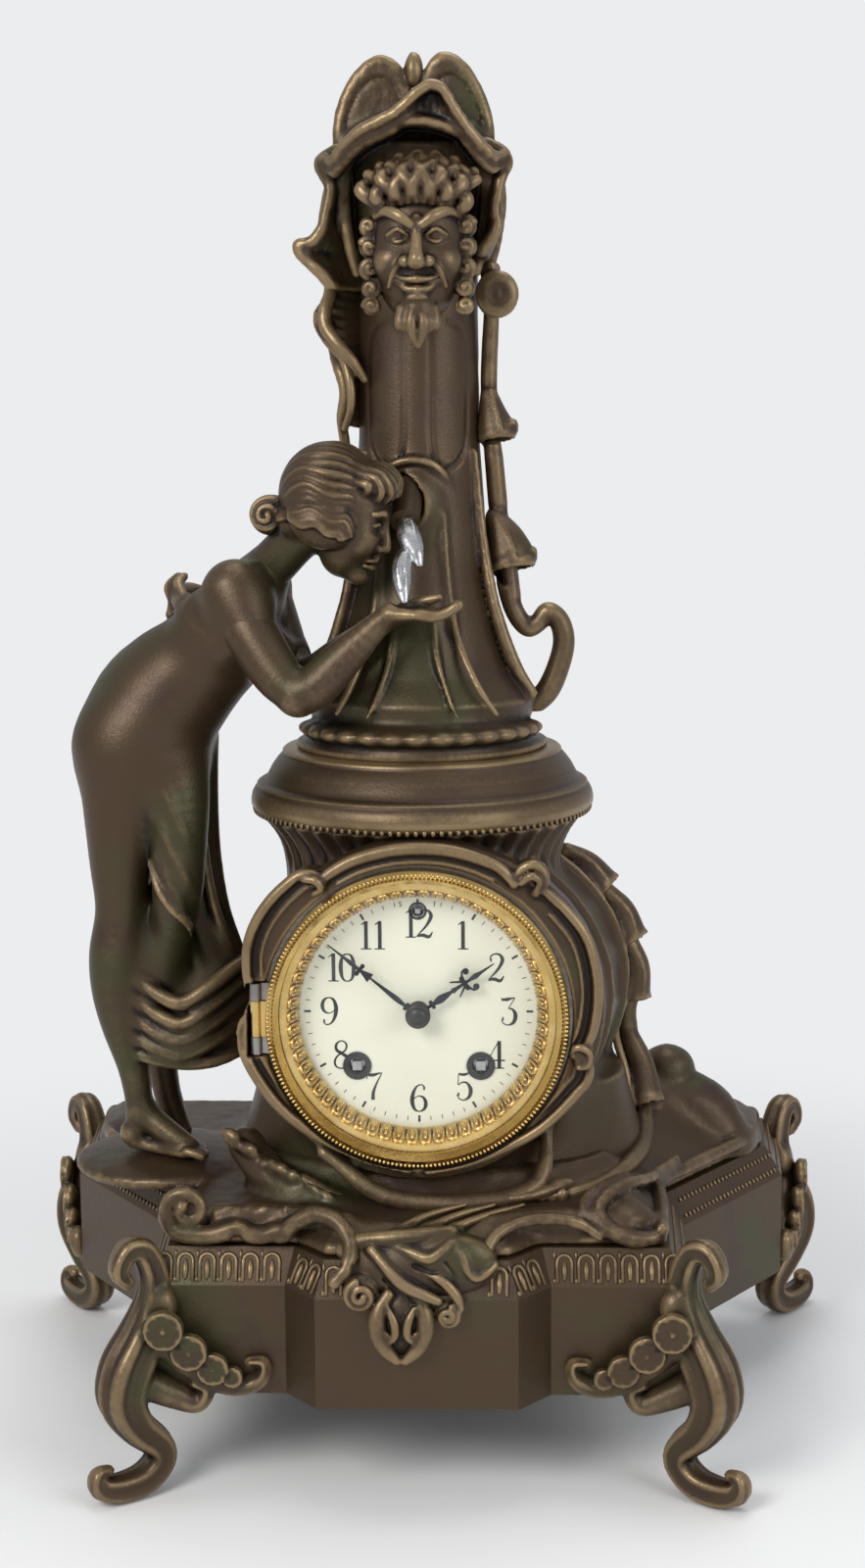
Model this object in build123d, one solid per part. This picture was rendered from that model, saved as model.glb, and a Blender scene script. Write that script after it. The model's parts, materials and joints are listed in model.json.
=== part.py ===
from build123d import *
import math
import os

# Figural mantel clock: a woman drinks at a fountain column that stands on a drum clock.
# Millimetres. Origin on the table under the middle of the clock, +Z up, the dial faces -Y.

os.makedirs("parts", exist_ok=True)

# Shared clearances and overrun
cut_over = 1.0            # how far a cutting body runs past what it cuts
run_gap = 0.05            # radial running fit of a shaft in its hole
screw_gap = 0.1           # radial room round a screw or rod
seat_gap = 0.3            # room between two curved castings that only meet
end_shake = 0.3           # room along an arbor between its shoulder and a plate

egg_level_shares = (-0.985, -0.87, -0.62, -0.3, 0.0, 0.3, 0.62, 0.87, 0.985)

# Plinth
plinth_lift = 44.0        # underside above the table
plinth_face = 47.0        # plain side
moulding_rise = 14.0
moulding_inset = 8.0
plinth_wall = 4.0
plinth_front = 95.0       # front face, forward of the middle
plinth_rear = 99.0
block_proud = 15.0        # centre block in front of the front face
block_half = 41.5
block_root_half = 55.0
front_half = 112.0        # half width of the front face
return_depth = 73.0       # short return behind each front corner
return_flare = 3.0
side_half = 166.0
side_back = 46.0
rear_half = 170.0

# Ground casting
ground_rise = 13.0
ground_inset = 10.0
ground_wall = 5.0
hump_half = (35.0, 30.0, 36.0)
hump_x = 124.0
hump_y = 52.0
mound_half = (34.0, 30.0, 9.0)
mound_x = -118.0
mound_y = 2.0
rim_scroll_radius = 6.0
rim_drop = 3.0            # rim scrolls hang over the moulding by this
rim_radius_shares = (0.5, 0.85, 1.0, 0.85, 0.5)
rim_along_shares = (1.0, 0.9, 0.72, 0.52, 0.36)
rim_lift_shares = (1.6, 2.4, 1.2, 1.6, 1.2)
cartouche_half = (27.0, 14.9, 20.0)
cartouche_sink = 3.0      # cartouche middle behind the block face
cartouche_drop = 2.0

# Feet, worked in (outward, up)
foot_height = 109.0
foot_reach = 24.0
foot_stand = 4.0          # scroll axis outside the plinth corner
foot_radius = 9.5
foot_lean_share = 0.8     # outward line: this share back along the face, the rest off it
foot_path_shares = [(0.30, 0.89), (0.05, 0.945), (-0.10, 0.86), (0.00, 0.72), (0.28, 0.57), (0.45, 0.42),
                    (0.20, 0.27), (0.02, 0.17), (0.30, 0.058), (0.85, 0.055)]
foot_radius_shares = [0.45, 0.55, 0.62, 0.80, 1.0, 0.95, 0.75, 0.72, 0.78, 0.72]
wing_length = 52.0
wing_rise = 36.0          # drop of the wing from its first flower to its curl
wing_low = 50.0           # height of the curl at the end of the wing
wing_stem_shares = [(0.0, 1.43), (0.35, 1.08), (0.7, 1.0), (1.0, 1.04)]
wing_radius_shares = (1.6, 1.3, 1.0, 0.7)
flower_radius = 7.5
flower_depth = 6.0
flower_count = 3
flower_first_share = 1.2  # first flower from the corner, in flower radii
flower_step_share = 1.25
wing_fall_power = 1.4     # how steeply the flowers drop at first
wing_radius = 4.5

# Drum and dial frame
dial_height = 199.0
drum_face = 69.0          # front face, forward of the middle
drum_back = 44.0          # rear face, behind the middle
drum_radius = 71.0
drum_rear_half = (84.0, 70.0)
drum_rear_x = 12.0
drum_rear_drop = 6.0
drum_cavity = 66.0
drum_wall = 4.0
drum_rear_hole = 55.0
neck_half = (61.0, 52.0)
neck_top_half = (71.0, 67.0)
neck_low = 232.0
neck_waist = 256.0
skirt_half = (90.0, 58.0)
skirt_top_half = (82.0, 54.0)
skirt_x = 9.0
skirt_rise = 44.0
frame_radius = 75.0
frame_depth = 8.0
frame_bore = 65.5
frame_outline_shares = [(-0.99, -0.01), (-0.84, 0.43), (-0.68, 0.81), (-0.42, 0.90), (0.03, 0.985),
                        (0.58, 0.83), (1.0, 0.22), (0.97, -0.29), (0.74, -0.70), (0.02, -0.97),
                        (-0.75, -0.60)]
stalk_radius = 6.0
stalk_y = 30.0
stalk_shares = [(0.72, 0.60), (0.98, 0.44), (1.12, 0.18), (1.19, -0.13), (1.18, -0.50), (1.14, -0.90)]
stalk_radius_shares = (0.7, 0.9, 1.0, 1.0, 1.1, 1.2)
sheath_shares = (1.5, 1.3, 1.7)

# Cornice cap
cap_low = 275.0
cap_radius = 75.0
cap_rim = 12.0
cap_top_radius = 60.0
cap_rise = 28.0

# Fountain column
disc_radius = 55.0
disc_rise = 7.0
column_top = 505.0
column_wall = 4.0
column_sections = [(disc_rise, 44.0), (20.0, 43.0), (36.0, 42.0), (52.0, 36.0), (72.0, 30.0),
                   (102.0, 27.0), (132.0, 25.5), (172.0, 25.4)]
column_solid = 36.0       # solid foot that takes the tie rod
basin_y = -12.0
basin_half = (46.0, 42.0)
basin_rise = 9.0
basin_foot_share = 0.86

# Hood and mask
hood_top = 592.0
hood_half = (33.0, 26.0)
hood_waist_half = (27.0, 25.5)
hood_shoulder = 547.0
lobe_radius = 25.0
lobe_half_depth = 7.0
lobe_x = 18.0
lobe_y = 6.0
knob_half = (5.5, 5.5, 9.0)
brim_radius = 6.0
brim_reach = 46.0
brim_crown = 569.0
hood_crown_shares = (0.8, 0.7)
# brim: sideways, forward, up in brim radii above its ends
brim_arch_shares = [(-1.0, 0.35, 0.0), (-0.72, 0.8, 3.0), (0.0, 1.0, 4.7), (0.72, 0.8, 3.0), (1.0, 0.35, 0.0)]
brim_radius_shares = (0.8, 1.0, 1.15, 1.0, 0.8)
roof_radius_shares = (1.0, 1.6, 2.0)
mask_height = 512.0
mask_half = (21.0, 30.0, 33.0)
mask_x = 1.5
beard_drop = 38.0
beard_radius = 9.0
beard_root_shares = (0.55, 0.60)
beard_tip_share = 0.50
beard_taper_share = 0.30
nose_radius = 5.0
nose_sink_share = 0.40
nose_length_share = 1.5
brow_radius = 5.0
brow_place_shares = (2.0, 1.6, 2.0)
brow_width_share = 1.7
hair_radius = 8.0
hair_place_shares = (0.55, 0.40, 0.90)
mask_back = 25.8          # flat back of the mask, forward of the column axis

# Vines on the column, as (sideways, up) shares of the vine height
vine_radius = 4.2
vine_foot = 330.0
vine_rise = 190.0
vine_spread = 40.0
leaf_radius = 9.0
leaf_half_depth = 3.0
vine_right_shares = [(1.12, 0.03), (1.48, 0.13), (1.10, 0.22), (1.05, 0.40), (0.84, 0.60), (0.80, 0.85),
                     (0.82, 1.0)]
vine_right_leaves = [(1.22, 0.30), (0.98, 0.57), (1.02, 0.88)]
vine_left_shares = [(0.72, 0.55), (0.72, 0.66), (0.82, 0.80), (1.06, 0.95), (1.04, 1.08), (0.92, 1.14)]
vine_left_leaves = [(1.16, 0.97), (0.84, 0.60)]

# Woman
figure_x = -122.0
figure_y = 2.0
figure_rise = 274.0       # ground to the neck
figure_width = 30.0
# each row: forward, towards the viewer, up, half width, half depth, lean in turns
figure_section_shares = [(-0.004, 0.00, 0.150, 0.50, 0.50, 0.0), (-0.004, 0.00, 0.300, 0.84, 0.66, 0.0),
                         (0.014, 0.00, 0.430, 0.90, 0.72, 0.0), (0.004, 0.00, 0.540, 0.94, 0.80, 0.0),
                         (0.000, 0.00, 0.670, 0.99, 0.88, 0.01), (0.060, 0.04, 0.795, 0.92, 0.76, 0.10),
                         (0.148, 0.08, 0.885, 0.80, 0.84, 0.135), (0.206, 0.11, 0.945, 0.55, 0.90, 0.155),
                         (0.222, 0.12, 0.965, 0.36, 0.50, 0.16)]
leg_radius = 11.0
leg_taper_share = 0.62
ankle_back_share = 0.40
leg_stagger_share = 0.20
instep_share = 0.50
foot_half = (17.0, 8.0, 6.5)
leg_spread = 11.0
train_radius = 13.0
train_path_shares = [(0.04, 0.05, 0.48), (0.10, 0.05, 0.36), (0.15, 0.05, 0.27), (0.12, 0.05, 0.18),
                     (0.05, 0.05, 0.17)]
train_radius_shares = (0.9, 1.0, 1.1, 1.0, 0.7)
head_half = (22.0, 19.0, 24.0)
head_x = -34.0
head_y = -42.0
head_height = 408.0
neck_radius = 10.5
neck_taper_share = 0.90
nape_share = 0.30
bun_half = (9.0, 9.0, 10.0)
bun_place_shares = (1.15, 0.40)
chin_radius = 8.0
chin_place_shares = (0.45, 0.75)
arm_radius = 10.5
shoulder_share = 1.15
elbow_share = 0.86
right_arm_path = [(-79.0, -44.0, 378.0), (-64.0, -54.0, 350.0), (-50.0, -60.0, 331.0),
                  (-30.0, -61.0, 348.0), (-12.0, -61.0, 365.0)]
left_arm_path = [(-58.0, -10.0, 372.0), (-56.0, -24.0, 352.0), (-50.0, -35.0, 337.0),
                 (-30.0, -40.0, 348.0), (-12.0, -42.0, 362.0)]
arm_radius_shares = [1.1, 0.95, 0.85, 0.8, 0.52]
hand_half = (15.0, 8.5, 3.4)
hand_share = 0.8          # hand centre past the wrist, as a share of the hand length

# Spout and water
spout_height = 414.0
spout_root = 22.0         # root of the spout, forward of the column axis
spout_reach = 39.0
spout_drop = 12.0
spout_radius = 6.0
spout_root_share = 1.3
spout_x = -5.0
water_radius = 3.2
water_waist_share = 0.80
water_sway = 2.0

# Tie rod behind the movement
rod_y = 28.0
rod_radius = 3.0
rod_grip = 22.0           # length held in the column foot
nut_radius = 8.0
nut_height = 6.0

# Bezel, glass, dial and dial pan; depths are measured forward of the middle
bezel_radius = 63.0
bezel_bore = 57.5
bezel_back = 70.0
bezel_depth = 10.0
sight_bore = 50.0
sight_back = 63.2
sight_thick = 1.4
glass_front = 76.0
glass_thick = 1.6
ring_gap = 0.2
hinge_x = -67.0
hinge_y = -73.5
hinge_length = 30.0
hinge_radius = 2.4
pin_radius = 1.2
knuckle_gap = 0.3
knuckle_share = 0.5       # bezel knuckle, as a share of the hinge length
dial_radius = 55.0
dial_front = 62.0
dial_thick = 2.0
pan_thick = 2.0
pan_radius = 60.0
pan_rim = 1.2
pan_flange = 64.6
boss_radius = 3.5
boss_places = [(34.0, 34.0), (-34.0, 34.0), (36.0, -14.0), (-36.0, -32.0)]
centre_hole = 4.5
winding_hole = 4.8
regulator_hole = 2.6
collar_lip = 6.0
collar_bore = 3.6
collar_stand = 0.7

# Movement plates and pillars
plate_half = (40.0, 48.0)
plate_corner = 8.0
plate_thick = 2.0
front_plate_face = 50.0
rear_plate_face = 16.0
pillar_radius = 2.6
pillar_places = [(-34.0, 42.0), (34.0, 42.0), (37.0, 4.0), (0.0, -44.5)]
plate_screw_radius = 1.2
plate_screw_head = 2.6
plate_screw_head_rise = 1.4
plate_screw_grip = 6.0
pivot_radius = 0.7
arbor_radius = 0.9

# Trains: numbers of teeth and modules
great_teeth = 48
great_module = 0.8
first_leaves = 12
going_second_teeth = 56
going_second_module = 0.65
centre_leaves = 8
centre_teeth = 84
centre_module = 0.45
third_leaves = 7
third_teeth = 77
third_module = 0.4
escape_leaves = 7
escape_teeth = 36
escape_radius = 10.0
escape_depth = 1.6
escape_lead_share = 0.45
strike_second_teeth = 54
strike_second_module = 0.6
fly_leaves = 9
cannon_leaves = 12
minute_teeth = 36
cannon_module = 0.6
minute_leaves = 10
hour_teeth = 40
winding_x = 26.0
winding_drop = 23.5
escape_rise = 25.5
strike_second_angle = 97.2
fly_angle = 69.9
minute_angle = 90.0

# Tooth form, as shares of the module or of the tooth pitch
addendum_share = 0.62
dedendum_share = 1.0
tip_width_share = 0.16
pitch_width_share = 0.36
root_width_share = 0.46
crossing_share = 0.55     # wheels are relieved to this share of their root radius
spoke_count = 5
spoke_width = 2.0
spoke_reach_share = 1.2
wheel_hub = 2.4

# Places along the arbors, forward of the middle, and thicknesses
motion_wheel_y = 51.5
hour_wheel_y = 54.5
motion_thick = 1.5
centre_wheel_y = 45.5
third_wheel_y = 41.5
escape_wheel_y = 29.0
thin_wheel = 1.5
great_wheel_y = 22.5
great_thick = 2.5
second_wheel_y = 18.5
second_thick = 2.0
leaf_overlap = 0.5        # pinions stand past the wheels that drive them
spring_y = 28.5
spring_width = 15.5
spring_radius = 17.0
spring_bore = 4.4
spring_thick = 0.6
spring_half_turns = 14
winding_radius = 3.0
winding_square = 3.9
winding_tip = 62.5
ratchet_radius = 7.2
ratchet_teeth = 24
ratchet_depth = 1.0
ratchet_lead_share = 0.12
ratchet_thick = 2.2
click_gap = 0.4
click_width = 2.6
click_length = 7.0
centre_radius = 1.5
pipe_radius = 2.4
hand_thick = 0.8
hour_hand_y = 66.2
minute_hand_y = 68.6
hour_hand_length = 42.0
minute_hand_length = 48.0
hour_hub = 5.0
minute_hub = 4.6
hand_root_half = 1.3
hand_tip_half = 0.45
hand_cross = 5.0
hand_cross_half = 0.9
hand_knot_share = 1.6
hour_cross_share = 0.72
minute_cross_share = 0.62
hour_angle = 55.75        # clockwise from 12
minute_hand_angle = 309.0
collet_radius = 4.4
collet_rise = 3.4
collet_shares = [(1.0, 0.0), (0.9, 0.5), (0.6, 0.85), (0.0, 1.0)]
hand_taper_share = 0.9    # the blade narrows to its tip from here

# Escapement, pendulum, strike work
verge_rise = 38.0
verge_gap = 0.9
verge_arm = 1.2
verge_half = 8.5
verge_drop = 5.2
pendulum_y = 8.5          # forward of the middle
pendulum_length = 88.0
rod_half = 0.9
pendulum_hub = 2.6
bob_radius = 11.0
bob_thick = 6.0
bob_edge = 1.6
regulator_rise = 43.0
regulator_radius = 1.5
regulator_square = 2.0
regulator_tip = 62.8
regulator_pinion = 2.2
regulator_back = 11.0
fly_half = 10.0
fly_height = 7.0
fly_thick = 0.8
fly_y = 31.0
hammer_x = -35.0
hammer_drop = 44.0
hammer_arbor = 1.2
hammer_arm = 1.4
hammer_head = (4.0, 7.0)
hammer_head_x = -47.5
hammer_head_drop = 5.0
tail_x = -38.0
tail_drop = 18.5
gong_y = 14.0             # behind the middle
gong_radius = 40.0
gong_bore = 22.0
gong_wire = 1.5
gong_half_turns = 7
stand_x = 9.0
stand_half = (4.0, 5.0)
stand_top = -37.6

# Rear cover
cover_radius = 60.0
cover_thick = 1.5
cover_lip = 5.0
cover_lip_wall = 1.6
cover_lip_gap = 0.3

# Casting screws
screw_radius = 2.0
screw_head = 4.0
screw_head_rise = 2.5
screw_grip = 4.0

# Levels that follow
plinth_top = plinth_lift + plinth_face + moulding_rise
moulding_low = plinth_lift + plinth_face
ground_top = plinth_top + ground_rise
cap_top = cap_low + cap_rise
bezel_front = bezel_back + bezel_depth
front_plate_back = front_plate_face - plate_thick
rear_plate_back = rear_plate_face - plate_thick
pan_front = dial_front - dial_thick
pan_back = pan_front - pan_thick

# Arbor places in the dial plane
def polar(origin, length, degrees):
    turn = math.radians(degrees)
    return (origin[0] + length * math.cos(turn), origin[1] + length * math.sin(turn))


def meet(a, reach_a, b, reach_b, side):
    """Point that lies reach_a from a and reach_b from b."""
    span = math.dist(a, b)
    along = (reach_a ** 2 - reach_b ** 2 + span ** 2) / (2 * span)
    off = math.sqrt(reach_a ** 2 - along ** 2) * side
    ux, uz = (b[0] - a[0]) / span, (b[1] - a[1]) / span
    return (a[0] + along * ux - off * uz, a[1] + along * uz + off * ux)


def mesh_span(teeth_a, teeth_b, module):
    return module * (teeth_a + teeth_b) / 2


centre = (0.0, 0.0)
time_great = (winding_x, -winding_drop)
strike_great = (-winding_x, -winding_drop)
escape = (0.0, escape_rise)
verge_place = (0.0, verge_rise)
regulator = (0.0, regulator_rise)
time_second = meet(time_great, mesh_span(great_teeth, first_leaves, great_module),
                   centre, mesh_span(going_second_teeth, centre_leaves, going_second_module), 1)
third = meet(centre, mesh_span(centre_teeth, third_leaves, centre_module),
             escape, mesh_span(third_teeth, escape_leaves, third_module), -1)
strike_second = polar(strike_great, mesh_span(great_teeth, first_leaves, great_module), strike_second_angle)
fly_place = polar(strike_second, mesh_span(strike_second_teeth, fly_leaves, strike_second_module), fly_angle)
minute_module = cannon_module * (cannon_leaves + minute_teeth) / (minute_leaves + hour_teeth)
minute_place = polar(centre, mesh_span(cannon_leaves, minute_teeth, cannon_module), minute_angle)
hammer_place = (hammer_x, -hammer_drop)


# Drawing helpers
def facing(place, forward):
    """Drawing plane at a place on the dial: local x is X, local y is Z, extrusion runs forward."""
    return Plane(origin=(place[0], -forward, dial_height + place[1]), x_dir=(1, 0, 0), z_dir=(0, -1, 0))


def disc(place, back, front, radius):
    return extrude(facing(place, back) * Circle(radius), front - back)


def ring(place, back, front, radius, bore):
    return extrude(facing(place, back) * (Circle(radius) - Circle(bore)), front - back)


def upright(x, y, low, high, radius):
    return extrude(Plane(origin=(x, y, low)) * Circle(radius), high - low)


def egg(x, y, z, half):
    """Ellipsoid through level sections, with a tiny flat at each pole."""
    rows = []
    for share in egg_level_shares:
        girth = math.sqrt(1 - share ** 2)
        rows.append(Plane(origin=(x, y, z + share * half[2])) * Ellipse(girth * half[0], girth * half[1]))
    return loft(rows, ruled=True)


def tube(points, radii, side):
    """Round tube through points, with its own radius at each; side is square to most of the path."""
    spots = [Vector(*p) for p in points]
    sections = []
    for i, spot in enumerate(spots):
        before = spots[max(i - 1, 0)]
        after = spots[min(i + 1, len(spots) - 1)]
        heading = (after - before).normalized()
        across = Vector(*side)
        across = (across - heading * across.dot(heading)).normalized()
        sections.append(Plane(origin=spot, x_dir=across, z_dir=heading) * Circle(radii[i]))
    return loft(sections, ruled=True)


def one(shape):
    """The largest solid of a cut shape: crumbs that a cut leaves over are dropped."""
    return max(shape.solids(), key=lambda s: s.volume)


# Plinth, ground and feet
def plinth_outline(inset):
    front = -plinth_front
    right = [(block_half, front - block_proud), (block_root_half, front), (front_half, front),
             (front_half + return_flare, front + return_depth), (side_half, side_back),
             (rear_half, plinth_rear)]
    left = [(-x, y) for x, y in reversed(right)]
    face = make_face(Polyline(*right, *left, close=True))
    if inset:
        face = offset(face, amount=-inset, kind=Kind.INTERSECTION)
    return face


def plinth_block():
    side = extrude(Pos(0, 0, plinth_lift) * plinth_outline(0), plinth_face)
    moulding = loft([Pos(0, 0, moulding_low) * plinth_outline(0),
                     Pos(0, 0, plinth_top) * plinth_outline(moulding_inset)], ruled=True)
    return side + moulding


def base_plinth():
    inner = extrude(Pos(0, 0, plinth_lift - cut_over) * plinth_outline(plinth_wall), plinth_face + cut_over)
    upper_rise = moulding_rise - plinth_wall
    upper = extrude(Pos(0, 0, moulding_low) * plinth_outline(moulding_inset + plinth_wall), upper_rise)
    body = plinth_block() - inner - upper
    body -= upright(0, rod_y, moulding_low, plinth_top + cut_over, rod_radius + screw_gap)
    for foot in feet_frames:
        body -= foot_screw_hole(foot)
    return body


def rim_scroll(points):
    return tube([(x, y, plinth_top + up) for x, y, up in points],
                [rim_scroll_radius * share for share in rim_radius_shares], (0, 1, 0))


def rock_ground():
    top = ground_inset + ground_rise
    body = loft([Pos(0, 0, plinth_top) * plinth_outline(ground_inset),
                 Pos(0, 0, ground_top) * plinth_outline(top)], ruled=True)
    hump = egg(hump_x, hump_y, ground_top, hump_half)
    mound = egg(mound_x, mound_y, ground_top, mound_half)
    rim_y = -(plinth_front - moulding_inset)
    far = front_half - moulding_inset
    scrolls = []
    for side in (-1, 1):
        scrolls.append(rim_scroll([(side * far * share, rim_y + rim_drop, rim_scroll_radius * lift)
                                   for share, lift in zip(rim_along_shares, rim_lift_shares)]))
    front_y = -(plinth_front + block_proud - cartouche_sink)
    cartouche = egg(0, front_y, plinth_top - cartouche_drop, cartouche_half)
    body = body + hump + mound
    for scroll in scrolls:
        body += scroll
    body = body - Pos(0, 0, plinth_top) * under_cut() + (cartouche - plinth_block())
    hollow = ground_rise - ground_wall
    body -= extrude(Pos(0, 0, plinth_top - cut_over) * plinth_outline(top + ground_wall), hollow + cut_over)
    body += rod_boss()
    body -= upright(0, rod_y, plinth_top - cut_over, ground_top + cut_over, rod_radius + screw_gap)
    return one(body)


def under_cut():
    """Block that takes away all that lies below its place."""
    return Box(4 * rear_half, 4 * plinth_rear, 4 * foot_height, align=(Align.CENTER, Align.CENTER, Align.MAX))


def rod_boss():
    return upright(0, rod_y, plinth_top, ground_top, 2 * nut_radius)


class PlinthCorner:
    """Corner of the plinth that a foot clasps, with the face that its wing lies on."""

    def __init__(self, corner, inner):
        span = math.dist(corner, inner)
        self.corner = corner
        self.along = ((inner[0] - corner[0]) / span, (inner[1] - corner[1]) / span)
        turn = 1 if corner[0] > 0 else -1
        self.normal = (-turn * self.along[1], turn * self.along[0])
        lean = foot_lean_share
        off = math.sqrt(1 - lean ** 2)
        self.out = (off * self.normal[0] - lean * self.along[0], off * self.normal[1] - lean * self.along[1])

    def on_scroll(self, out, up):
        reach = foot_stand + out
        return (self.corner[0] + reach * self.out[0], self.corner[1] + reach * self.out[1], up)

    def on_face(self, along, off, up):
        return (self.corner[0] + along * self.along[0] + off * self.normal[0],
                self.corner[1] + along * self.along[1] + off * self.normal[1], up)


def corner_frame(side, rear):
    if rear:
        return PlinthCorner((side * rear_half, plinth_rear), (side * side_half, side_back))
    return PlinthCorner((side * front_half, -plinth_front), (side * block_root_half, -plinth_front))


feet_frames = [corner_frame(side, rear) for rear in (False, True) for side in (-1, 1)]


def flower_spot(index):
    share = index / flower_count
    along = flower_radius * (flower_first_share + flower_step_share * index)
    up = wing_low + wing_rise * (1 - share) ** wing_fall_power
    return along, up


def foot_screw_hole(foot):
    along, up = flower_spot(0)
    start = foot.on_face(along, -plinth_wall - cut_over, up)
    axis = Plane(origin=start, z_dir=(foot.normal[0], foot.normal[1], 0))
    return extrude(axis * Circle(screw_radius + screw_gap), plinth_wall + cut_over + screw_grip + screw_gap)


def scroll_foot(foot):
    path = [foot.on_scroll(out * foot_reach, up * foot_height) for out, up in foot_path_shares]
    across = (-foot.out[1], foot.out[0], 0)
    body = tube(path, [share * foot_radius for share in foot_radius_shares], across)
    stem = [foot.on_face(wing_length * along, 0, wing_low * up) for along, up in wing_stem_shares]
    off_face = (foot.normal[0], foot.normal[1], 0)
    body += tube(stem, [wing_radius * share for share in wing_radius_shares], off_face)
    for index in range(flower_count):
        along, up = flower_spot(index)
        spot = foot.on_face(along, 0, up)
        body += extrude(Plane(origin=spot, z_dir=off_face) * Circle(flower_radius), flower_depth)
    return one(body - plinth_block() - foot_screw_hole(foot) - under_cut())


def casting_screws():
    screws = []
    for foot in feet_frames:
        along, up = flower_spot(0)
        start = foot.on_face(along, -plinth_wall - screw_head_rise, up)
        axis = Plane(origin=start, z_dir=(foot.normal[0], foot.normal[1], 0))
        screws.append(extrude(axis * Circle(screw_head), screw_head_rise)
                      + extrude(axis * Circle(screw_radius), screw_head_rise + plinth_wall + screw_grip))
    return screws


# Drum, cap and column
def section(x, y, z, half):
    return Plane(origin=(x, y, z)) * Ellipse(half[0], half[1])


def drum_body():
    barrel = loft([facing(centre, drum_face) * Circle(drum_radius),
                   facing((drum_rear_x, -drum_rear_drop), -drum_back) * Ellipse(*drum_rear_half)])
    neck = loft([section(0, 0, neck_low, neck_half), section(0, 0, neck_waist, neck_half),
                 section(0, 0, cap_low, neck_top_half)])
    skirt = loft([section(skirt_x, 0, ground_top, skirt_half),
                  section(skirt_x, 0, ground_top + skirt_rise, skirt_top_half)])
    return barrel + neck + skirt


def dial_frame():
    points = [(x * frame_radius, up * frame_radius) for x, up in frame_outline_shares]
    outline = make_face(Spline(*points, periodic=True))
    rim = extrude(facing(centre, drum_face) * outline, frame_depth)
    rim -= disc(centre, drum_face - cut_over, drum_face + frame_depth + cut_over, frame_bore)
    half = hinge_length / 2 + 2 * knuckle_gap
    notch = Pos(hinge_x, hinge_y, dial_height) * Box(4 * hinge_radius, 6 * hinge_radius, 2 * half)
    return rim - notch


def drum_case():
    body = drum_body()
    cavity = disc(centre, -drum_back + drum_wall, drum_face - drum_wall, drum_cavity)
    front_hole = disc(centre, 0, drum_face + cut_over, pan_radius + pan_rim + ring_gap)
    rear_hole = disc(centre, -drum_back - cut_over, 0, drum_rear_hole)
    behind = Pos(0, drum_back, dial_height) * Box(
        4 * cap_radius, cap_radius, 4 * cap_radius, align=(Align.CENTER, Align.MIN, Align.CENTER))
    body = body - behind - cavity - front_hole - rear_hole + dial_frame()
    body -= upright(0, rod_y, ground_top - cut_over, cap_low + cut_over, rod_radius + screw_gap)
    return one(body)


def reed_stalk(drum, ground):
    path = [(x * drum_rear_half[0], stalk_y, dial_height + up * drum_rear_half[1]) for x, up in stalk_shares]
    stalk = tube(path, [stalk_radius * share for share in stalk_radius_shares], (0, 1, 0))
    for spot in path[1:-1]:
        stalk += egg(*spot, [share * stalk_radius for share in sheath_shares])
    return one(stalk - drum - ground - Pos(0, 0, ground_top) * under_cut())


def cornice_cap():
    profile = [(rod_radius / 2, cap_low), (cap_radius, cap_low), (cap_radius, cap_low + cap_rim),
               (cap_top_radius, cap_top), (rod_radius / 2, cap_top)]
    face = make_face(Polyline(*[(r, 0, z) for r, z in profile], close=True))
    body = revolve(face, Axis.Z)
    return body - upright(0, rod_y, cap_low - cut_over, cap_top + cut_over, rod_radius + screw_gap)


def column_outer(shrink, low):
    sections = []
    for rise, half in column_sections:
        if rise >= low:
            sections.append(section(0, 0, cap_top + rise, (half - shrink, half - shrink)))
    top_half = column_sections[-1][1] - shrink
    sections.append(section(0, 0, column_top, (top_half, top_half)))
    return loft(sections, ruled=True)


def fountain_column():
    body = column_outer(0, 0) + upright(0, 0, cap_top, cap_top + disc_rise, disc_radius)
    basin = loft([section(0, basin_y, cap_top + disc_rise, [basin_foot_share * half for half in basin_half]),
                  section(0, basin_y, cap_top + disc_rise + basin_rise, basin_half)])
    body = body + basin
    inner = column_outer(column_wall, column_solid)
    over = upright(0, 0, column_top - cut_over, column_top + cut_over, column_sections[-1][1] - column_wall)
    body = body - inner - over
    body -= upright(0, rod_y, cap_top - cut_over, cap_top + rod_grip + cut_over, rod_radius + screw_gap)
    return one(body)


def tie_rod():
    return upright(0, rod_y, plinth_top - plinth_wall - nut_height, cap_top + rod_grip, rod_radius)


def tie_nut():
    low = plinth_top - plinth_wall - nut_height
    blank = extrude(Plane(origin=(0, rod_y, low)) * RegularPolygon(nut_radius, 6), nut_height)
    return blank - upright(0, rod_y, low - cut_over, low + nut_height + cut_over, rod_radius + run_gap)


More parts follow.
